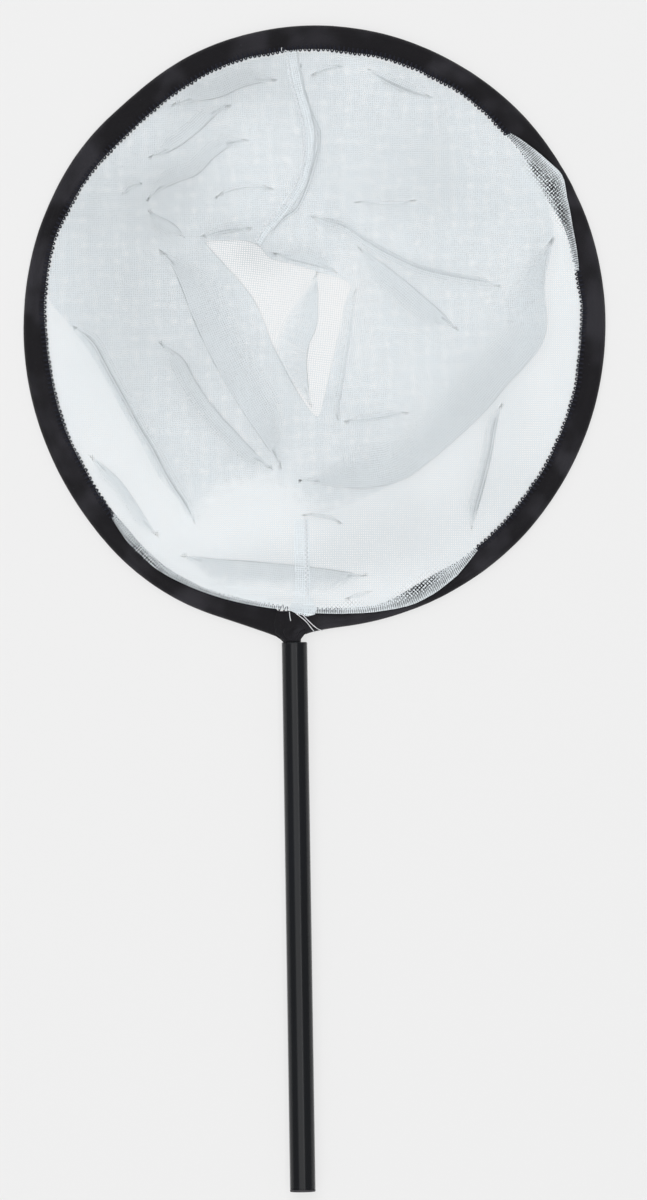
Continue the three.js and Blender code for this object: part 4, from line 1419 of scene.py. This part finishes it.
class SCOOPNET_OT_hem(bpy.types.Operator):
    """Black cloth folded round the wire, open along its inner edge"""

    bl_idname = "scoop_net.hem"
    bl_label = "Hem"

    def execute(self, context):
        settings = context.scene.scoop_net
        frames, along = path_frames(HEM_START, HEM_CLOTH_END, HEM_STEP)
        columns = UNDER_POINTS + TURN_POINTS + OVER_POINTS
        points = np.zeros((len(frames), columns, 3))
        flat = np.zeros((len(frames), columns, 2))
        for i, (p, _, n, up) in enumerate(frames):
            to_end = step_between(along[-1] - along[i], 0, HEM_TAPER)
            width = HEM_CLOTH_END_WIDTH * (1 - to_end) + hem_width_at(p, n) * to_end
            angle = angles_of(p[None])[0]
            flap = sum(reach * float(swell(angle, at, spread)) for at, reach, spread in LOWER_FLAP)
            outline, across = self.section(width, flap, along[i])
            points[i] = p + outline[:, :1] * n + outline[:, 1:] * up
            flat[i] = np.column_stack([np.full(columns, along[i]), across]) * MM
        hem = new_object("hem", points.reshape(-1, 3), grid_faces(len(frames), columns)[:, ::-1])
        vertex_map(hem, "weave", flat.reshape(-1, 2))
        self.keep_above_floor(hem)
        finish_with(hem, "SOLIDIFY", thickness=0.0004, offset=-1)
        put_material(hem, cloth_material("black_cloth", settings))
        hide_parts("hem_casing")
        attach(hem, "head")
        length = along[-1] * MM
        return {"FINISHED"}

    def section(self, width, flap, at):
        """Outline across the hem, from its lower inner edge round the wire to the upper one"""
        tip = width - CASING_RADIUS + edge_waver(at)
        low = CLEARANCE - CASING_RADIUS + 0.1
        high = CLEARANCE + 2 * HEM_CLOTH - CASING_RADIUS
        half_height = CASING_RADIUS - 0.12
        under = [(tip + flap - (tip + flap + 0.5) * k / UNDER_POINTS, low) for k in range(UNDER_POINTS)]
        turns = np.linspace(1.5 * np.pi, 0.5 * np.pi, TURN_POINTS)
        around = [(CASING_RADIUS * math.cos(a), half_height * math.sin(a)) for a in turns]
        over = []
        for share in np.arange(1, OVER_POINTS + 1) / OVER_POINTS:
            sag = SAG * math.sin(math.pi * share) ** 2
            over.append((tip * share, half_height * (1 - share) + high * share - sag))
        outline = np.array(under + around + over)
        across = np.concatenate([[0], np.cumsum(np.linalg.norm(np.diff(outline, axis=0), axis=1))])
        top = step_between(across, across[-1] * 0.42, across[-1] * 0.9)
        along = np.full(len(outline), at)
        puckers = ripple(along, across * 0.35, 22, 9, 3.2)
        drags = ripple(along + across * 0.8, across * 0.6, 23, 30, 10)
        lumps = ripple(along, across, 24, 80, 25)
        height = top * (PUCKER * puckers + DRAG * drags) + LUMP * lumps
        return outline + lefts(outline) * height[:, None], across

    def keep_above_floor(self, hem):
        co = np.zeros(len(hem.data.vertices) * 3, np.float32)
        hem.data.vertices.foreach_get("co", co)
        co = co.reshape(-1, 3)
        co[:, 2] = np.maximum(co[:, 2], 0.05 * MM)
        hem.data.vertices.foreach_set("co", co.ravel())
        hem.data.update()


# The net's near seam covers the hem here, and the overlock stitches stop on both sides of it
PATCH_X, PATCH_HALF_WIDTH = -8, 6.5

# The stitches lie this high over the hem's edge and this far in from it, and lower and further in under a lap
STITCH_HEIGHT, STITCH_DROP = 0.45, 0.75
STITCH_IN, STITCH_IN_UNDER_LAP = 0.1, 0.3

# One overlock stitch: along the hem, to the left and up
OVERLOCK_LOOP = [
    (-0.5, -1.9, 0.55), (-0.3, -1.0, 0.35), (0.0, 0.0, 0.1), (0.3, 0.8, 0.02), (0.75, 1.15, 0.0),
    (1.15, 0.7, 0.05), (1.5, -0.2, 0.2), (1.75, -1.2, 0.45), (1.85, -1.9, 0.6),
]


class SCOOPNET_OT_stitches(bpy.types.Operator):
    """Overlock stitches along the hem's inner edge"""

    bl_idname = "scoop_net.stitches"
    bl_label = "Overlock stitches"

    def execute(self, context):
        settings = context.scene.scoop_net
        frames, along = path_frames(HEM_START + 0.01, HEM_END - 0.01, 2.0)
        line = []
        for (p, _, n, up), at in zip(frames, along):
            edge = hem_width_at(p, n) - CASING_RADIUS + edge_waver(at)
            over = float(laps_over(angles_of(p[None])[0]))
            z = CLEARANCE + 2 * HEM_CLOTH - CASING_RADIUS + STITCH_HEIGHT - STITCH_DROP * over
            place = p + (edge - STITCH_IN - STITCH_IN_UNDER_LAP * over) * n + z * up
            if place[1] > 0 or abs(place[0] - PATCH_X) > PATCH_HALF_WIDTH:
                line.append(place)
        thread = thread_material("navy_thread", settings.thread_colour, (0.014, 0.016, 0.027))
        pitch, radius = settings.stitch_pitch, settings.stitch_radius
        row = stitched_row("hem_overlock", line, OVERLOCK_LOOP, pitch, radius, thread, 4)
        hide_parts("hem_stitching")
        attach(row, "head")
        return {"FINISHED"}


class SCOOPNET_OT_net(bpy.types.Operator):
    """The folded mesh bag in its two panels"""

    bl_idname = "scoop_net.net"
    bl_label = "Net bag"

    def execute(self, context):
        settings = context.scene.scoop_net
        shape = NET["shape"] = NetShape()
        names = ("net_panel_left", "net_panel_right")
        panels = split_panels(shape.build(), shape.top.pleats + shape.low.pleats, names)
        mesh = net_material("white_mesh", settings)
        for panel, node in zip(panels, ("net_left", "net_right")):
            put_material(panel, mesh)
            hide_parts(node)
            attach(panel, "head")
        return {"FINISHED"}


# Neck cloth: height above the mouth of the handle, left and right side, middle height and half thickness
NECK_OUTLINE = [
    (-8, -17.4, -9.4, 6.35, 2.3), (-0.3, -17.5, -9.3, 6.35, 2.35), (0.4, -18.3, -9.2, 6.2, 3.6),
    (1.5, -19.2, -9.3, 5.6, 3.9), (3.5, -21.8, -8.0, 4.9, 4.0), (5.0, -24.0, -6.2, 4.4, 4.0),
    (6.0, -24.5, -4.0, 4.0, 3.8), (7, -25.0, -1.6, 3.7, 3.5), (9, -25.0, 0.0, 3.2, 2.9),
    (12, -24.5, 0.5, 2.7, 2.2), (16, -23.0, -1.0, 2.2, 1.5),
]
NECK_SIDES, NECK_ROWS = 140, 52
NECK_IN_TUBE = 7.5
# Its cross-section lies between an oval (1) and a box (0), with large and small gathers round it. These are
# shallow in the tube and deeper above its mouth.
NECK_SQUARE = 0.85
LARGE_GATHERS, SMALL_GATHERS = 11, 27
GATHER_IN_TUBE, GATHER_ABOVE = 0.02, 0.09
# How far the neck goes under the net's edge
NECK_UNDER_NET = 1.6


class SCOOPNET_OT_neck(bpy.types.Operator):
    """Cloth gathered round the legs at the mouth of the handle"""

    bl_idname = "scoop_net.neck"
    bl_label = "Neck"

    def execute(self, context):
        mouth = MOUTH_Y - HOOP_CENTRE[1]
        low_y, top_y = mouth - NECK_IN_TUBE, -float(hem_inner_radius(CLIMB_ANGLE)) - NECK_UNDER_NET
        above, *profile = zip(*NECK_OUTLINE)
        turn = np.linspace(0, 2 * np.pi, NECK_SIDES, endpoint=False)
        c, s = np.cos(turn), np.sin(turn)
        points, flat = [], []
        for share in np.linspace(0, 1, NECK_ROWS):
            y = low_y + (top_y - low_y) * share
            west, east, z, half_height = (np.interp(y - mouth, above, values) for values in profile)
            depth = GATHER_IN_TUBE + GATHER_ABOVE * float(step_between(y - mouth, -0.5, 3))
            bend = 2.5 * share + 0.8 * np.sin(3 * turn + 4 * share)
            gather = 1 + depth * np.sin(LARGE_GATHERS * turn + bend)
            gather += 0.4 * depth * np.sin(SMALL_GATHERS * turn - 5 * share)
            reach = (east - west) / 2 * (1 + (gather - 1) * 0.5)
            px = (west + east) / 2 + reach * np.sign(c) * np.abs(c) ** NECK_SQUARE
            pz = z + half_height * np.sign(s) * np.abs(s) ** NECK_SQUARE * gather
            points.append(np.column_stack([px, np.full(NECK_SIDES, y), np.maximum(pz, 0.1)]))
            flat.append(np.column_stack([turn * 6, np.full(NECK_SIDES, y)]) * MM)
        faces = grid_faces(NECK_ROWS, NECK_SIDES, closed=True)[:, ::-1]
        neck = new_object("neck_cloth", np.vstack(points), faces)
        vertex_map(neck, "weave", np.vstack(flat))
        put_material(neck, bpy.data.objects["hem"].active_material)
        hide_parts("neck_cover")
        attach(neck, "head")
        return {"FINISHED"}


# The two sewn seams: the line of each, its width at places along it in millimetres of y, with how closely it
# is woven there, where its row of stitches lies across it, the painted shading of its edge (lighter below 0,
# darker above), its flat size and its area
SEAMS = {
    "seam_far": (
        [(-9.4, 137.8), (-8.7, 132), (-7.5, 124), (-4.9, 113), (-2.6, 104), (-1.2, 97), (-1.3, 89),
         (-2.8, 80), (-6.2, 70.5), (-11.5, 62), (-17.5, 55), (-23.5, 48), (-27.5, 42)],
        [(42, 4.0, 0.0), (60, 5.2, 0.1), (100, 6.2, 0.1), (139, 6.6, 0.1)],
        -0.36, 1.3, (0.01, 0.12), 0.0007,
    ),
    "seam_near": (
        [(-8, -96), (-7.8, -108), (-7.8, -120), (-7.9, -132), (-7.9, -139), (-7.9, -142), (-8.3, -144.1)],
        [(-144.2, 6, 1.2), (-143.5, 9.5, 1.6), (-142.7, 13.5, 1.6), (-140.5, 14, 1.6), (-138.5, 12, 1.2),
         (-134, 7.6, 0.3), (-96, 7.5, 0.0)],
        0.28, 0.2, (0.014, 0.05), 0.00042,
    ),
}
SEAM_STEP = 1.3
ROW_STEP, ROW_PITCH, ROW_THREAD = 1.5, 0.0022, 0.00022
ZIGZAG = [(-1.1, -0.8, 0), (0.0, 0.8, 0.1), (1.1, -0.8, 0)]

# The rows of stitches stop here, short of the neck
ROW_END = -138
# The seams' least height beyond the rim
LEAST_OVER_HEM = 3.5
# Points across a seam
SEAM_POINTS = 11

# Loose thread ends over the neck, the tuft on the far side of the hem, and the thread's radius in metres
LOOSE_THREAD = 0.0002
THREAD_ENDS = [
    [(-11.2, -143.4), (-8.6, -145.4), (-6.2, -147.6), (-4.2, -150.2), (-2.3, -152.6)],
    [(-9.2, -142.8), (-6.4, -145.8), (-2.8, -149.4), (-0.4, -151.2), (1.8, -151.9)],
    [(-14.7, -142.4), (-14.5, -144.6), (-14.1, -146.9)],
    [(-13.7, 137.9), (-13.3, 138.8), (-12.8, 139.4)],
    [(-14.2, 137.9), (-14.5, 138.9), (-14.2, 139.7)],
]


class SCOOPNET_OT_seams(bpy.types.Operator):
    """The two sewn seams of the bag, with their rows of stitches and loose ends of white thread"""

    bl_idname = "scoop_net.seams"
    bl_label = "Net seams"

    def execute(self, context):
        settings = context.scene.scoop_net
        context.view_layer.update()
        mesh = net_material("white_seam", settings, cover=0.26, pale=1.03)
        thread = thread_material("white_thread", (0.86, 0.88, 0.9), (0.7, 0.73, 0.76))
        for name, (line, widths, row, edge_shading, flat, area) in SEAMS.items():
            strip = self.strip(name, line, widths, edge_shading)
            put_material(strip, mesh)
            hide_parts("net_" + name)
            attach(strip, "head")
            self.rows(name, line, widths, row, thread)
        self.thread_ends(context)
        return {"FINISHED"}

    def height(self, flat):
        """The bag's surface inside the rim, and the top of the hem and the neck's cloth beyond it"""
        surface = NET["shape"].surface(flat)
        over = step_between(np.hypot(*flat.T) - hem_inner_radius(angles_of(flat)), -2, -0.3)
        return np.maximum(surface * (1 - over) + LEAST_OVER_HEM * over, top_of(("hem", "neck_cloth"), flat))

    def strip(self, name, line, widths, edge_shading):
        """A ribbon of doubled net that lies on the bag"""
        middle = smooth_line(line, SEAM_STEP)
        left = lefts(middle)
        along = np.arange(len(middle)) * SEAM_STEP
        at, wide, close = zip(*widths)
        width = np.interp(middle[:, 1], at, wide)
        shares = np.linspace(-0.5, 0.5, SEAM_POINTS)
        points, flat, heights = [], [], []
        for share in shares:
            waver = 0.3 * ripple(along, np.full(len(along), 30 * share), 31, 25, 5)
            lumps = 0.12 * ripple(along, np.full(len(along), share * 8), 32, 6, 3)
            place = middle + left * (share * width + waver)[:, None]
            points.append(place)
            heights.append(self.height(place) + (0.25 + 0.15 * math.cos(math.pi * share) + lumps))
            flat.append(np.column_stack([along, share * width + 10]) * MM)
        heights = np.array(heights)
        heights[:, 1:-1] = np.maximum(heights[:, 1:-1], (heights[:, :-2] + heights[:, 2:]) / 2)
        rows = np.dstack([np.array(points), heights])
        piece = new_object(name, rows.reshape(-1, 3), grid_faces(len(shares), len(middle))[:, ::-1])
        vertex_map(piece, "cut", np.array(flat).reshape(-1, 2))
        for other in ("crease", "open", "holes"):
            put_value(piece, other, np.zeros(len(piece.data.vertices)))
        # Painted light and shade along the seam's edge
        put_value(piece, "tone", np.repeat(edge_shading * step_between(shares, 0.3, 0.5), len(middle)))
        put_value(piece, "bunch", np.tile(np.interp(middle[:, 1], at, close), len(shares)))
        return piece

    def rows(self, name, line, widths, share, thread):
        """A row of zigzag stitches along a seam"""
        middle = smooth_line(line, ROW_STEP)
        middle = middle[middle[:, 1] > ROW_END]
        at, wide, _ = zip(*widths)
        width = np.minimum(np.interp(middle[:, 1], at, wide), 8)
        place = middle + lefts(middle) * (width * share)[:, None]
        points = np.column_stack([place, self.height(place) + 0.7])
        row = stitched_row(name + "_stitches", points, ZIGZAG, ROW_PITCH, ROW_THREAD, thread, 6)
        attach(row, "head")

    def thread_ends(self, context):
        """Loose ends of the seams' white thread over the neck, and a small tuft at the far seam"""
        thread = thread_material("white_thread_ends", (0.8, 0.82, 0.84), (0.6, 0.62, 0.66))
        context.view_layer.update()
        lines = []
        for line in THREAD_ENDS:
            flat = smooth_line(line, 0.6)
            lies = top_of(("hem", "neck_cloth", "seam_far", "seam_near"), flat)
            arch = 0.25 + 0.5 * np.sin(np.linspace(0, np.pi, len(flat)))
            height = np.convolve(np.pad(lies, 2, mode="edge"), np.ones(5) / 5, mode="valid")
            lines.append(np.column_stack([flat, np.maximum(height, lies) + arch]))
        path = path_curve("thread_path", lines)
        path.data.bevel_depth = LOOSE_THREAD
        path.data.bevel_resolution = 2
        path.data.use_fill_caps = True
        mesh = bpy.data.meshes.new_from_object(path.evaluated_get(context.evaluated_depsgraph_get()))
        bpy.data.objects.remove(path)
        mesh.name = "thread_ends"
        mesh.shade_smooth()
        ends = bpy.data.objects.new("thread_ends", mesh)
        context.scene.collection.objects.link(ends)
        put_material(ends, thread)
        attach(ends, "head")


class SCOOPNET_PT_panel(bpy.types.Panel):
    """The steps that build the net, in order"""

    bl_idname = "SCOOPNET_PT_panel"
    bl_label = "Scoop net"
    bl_space_type = "VIEW_3D"
    bl_region_type = "UI"
    bl_category = "Scoop net"

    def draw(self, context):
        settings = context.scene.scoop_net
        for name in Settings.__annotations__:
            self.layout.prop(settings, name)
        for operator in OPERATORS:
            self.layout.operator(operator.bl_idname)


# The bag's shape, kept for the seams that lie on it
NET = {}

OPERATORS = (
    SCOOPNET_OT_stage,
    SCOOPNET_OT_handle,
    SCOOPNET_OT_hem,
    SCOOPNET_OT_stitches,
    SCOOPNET_OT_net,
    SCOOPNET_OT_neck,
    SCOOPNET_OT_seams,
)
CLASSES = (Settings, *OPERATORS, SCOOPNET_PT_panel)


def register():
    for each in CLASSES:
        bpy.utils.register_class(each)
    bpy.types.Scene.scoop_net = bpy.props.PointerProperty(type=Settings)


def unregister():
    del bpy.types.Scene.scoop_net
    for each in reversed(CLASSES):
        bpy.utils.unregister_class(each)


def main():
    register()
    for operator in OPERATORS:
        group, name = operator.bl_idname.split(".")
        getattr(getattr(bpy.ops, group), name)()


if __name__ == "__main__":
    main()
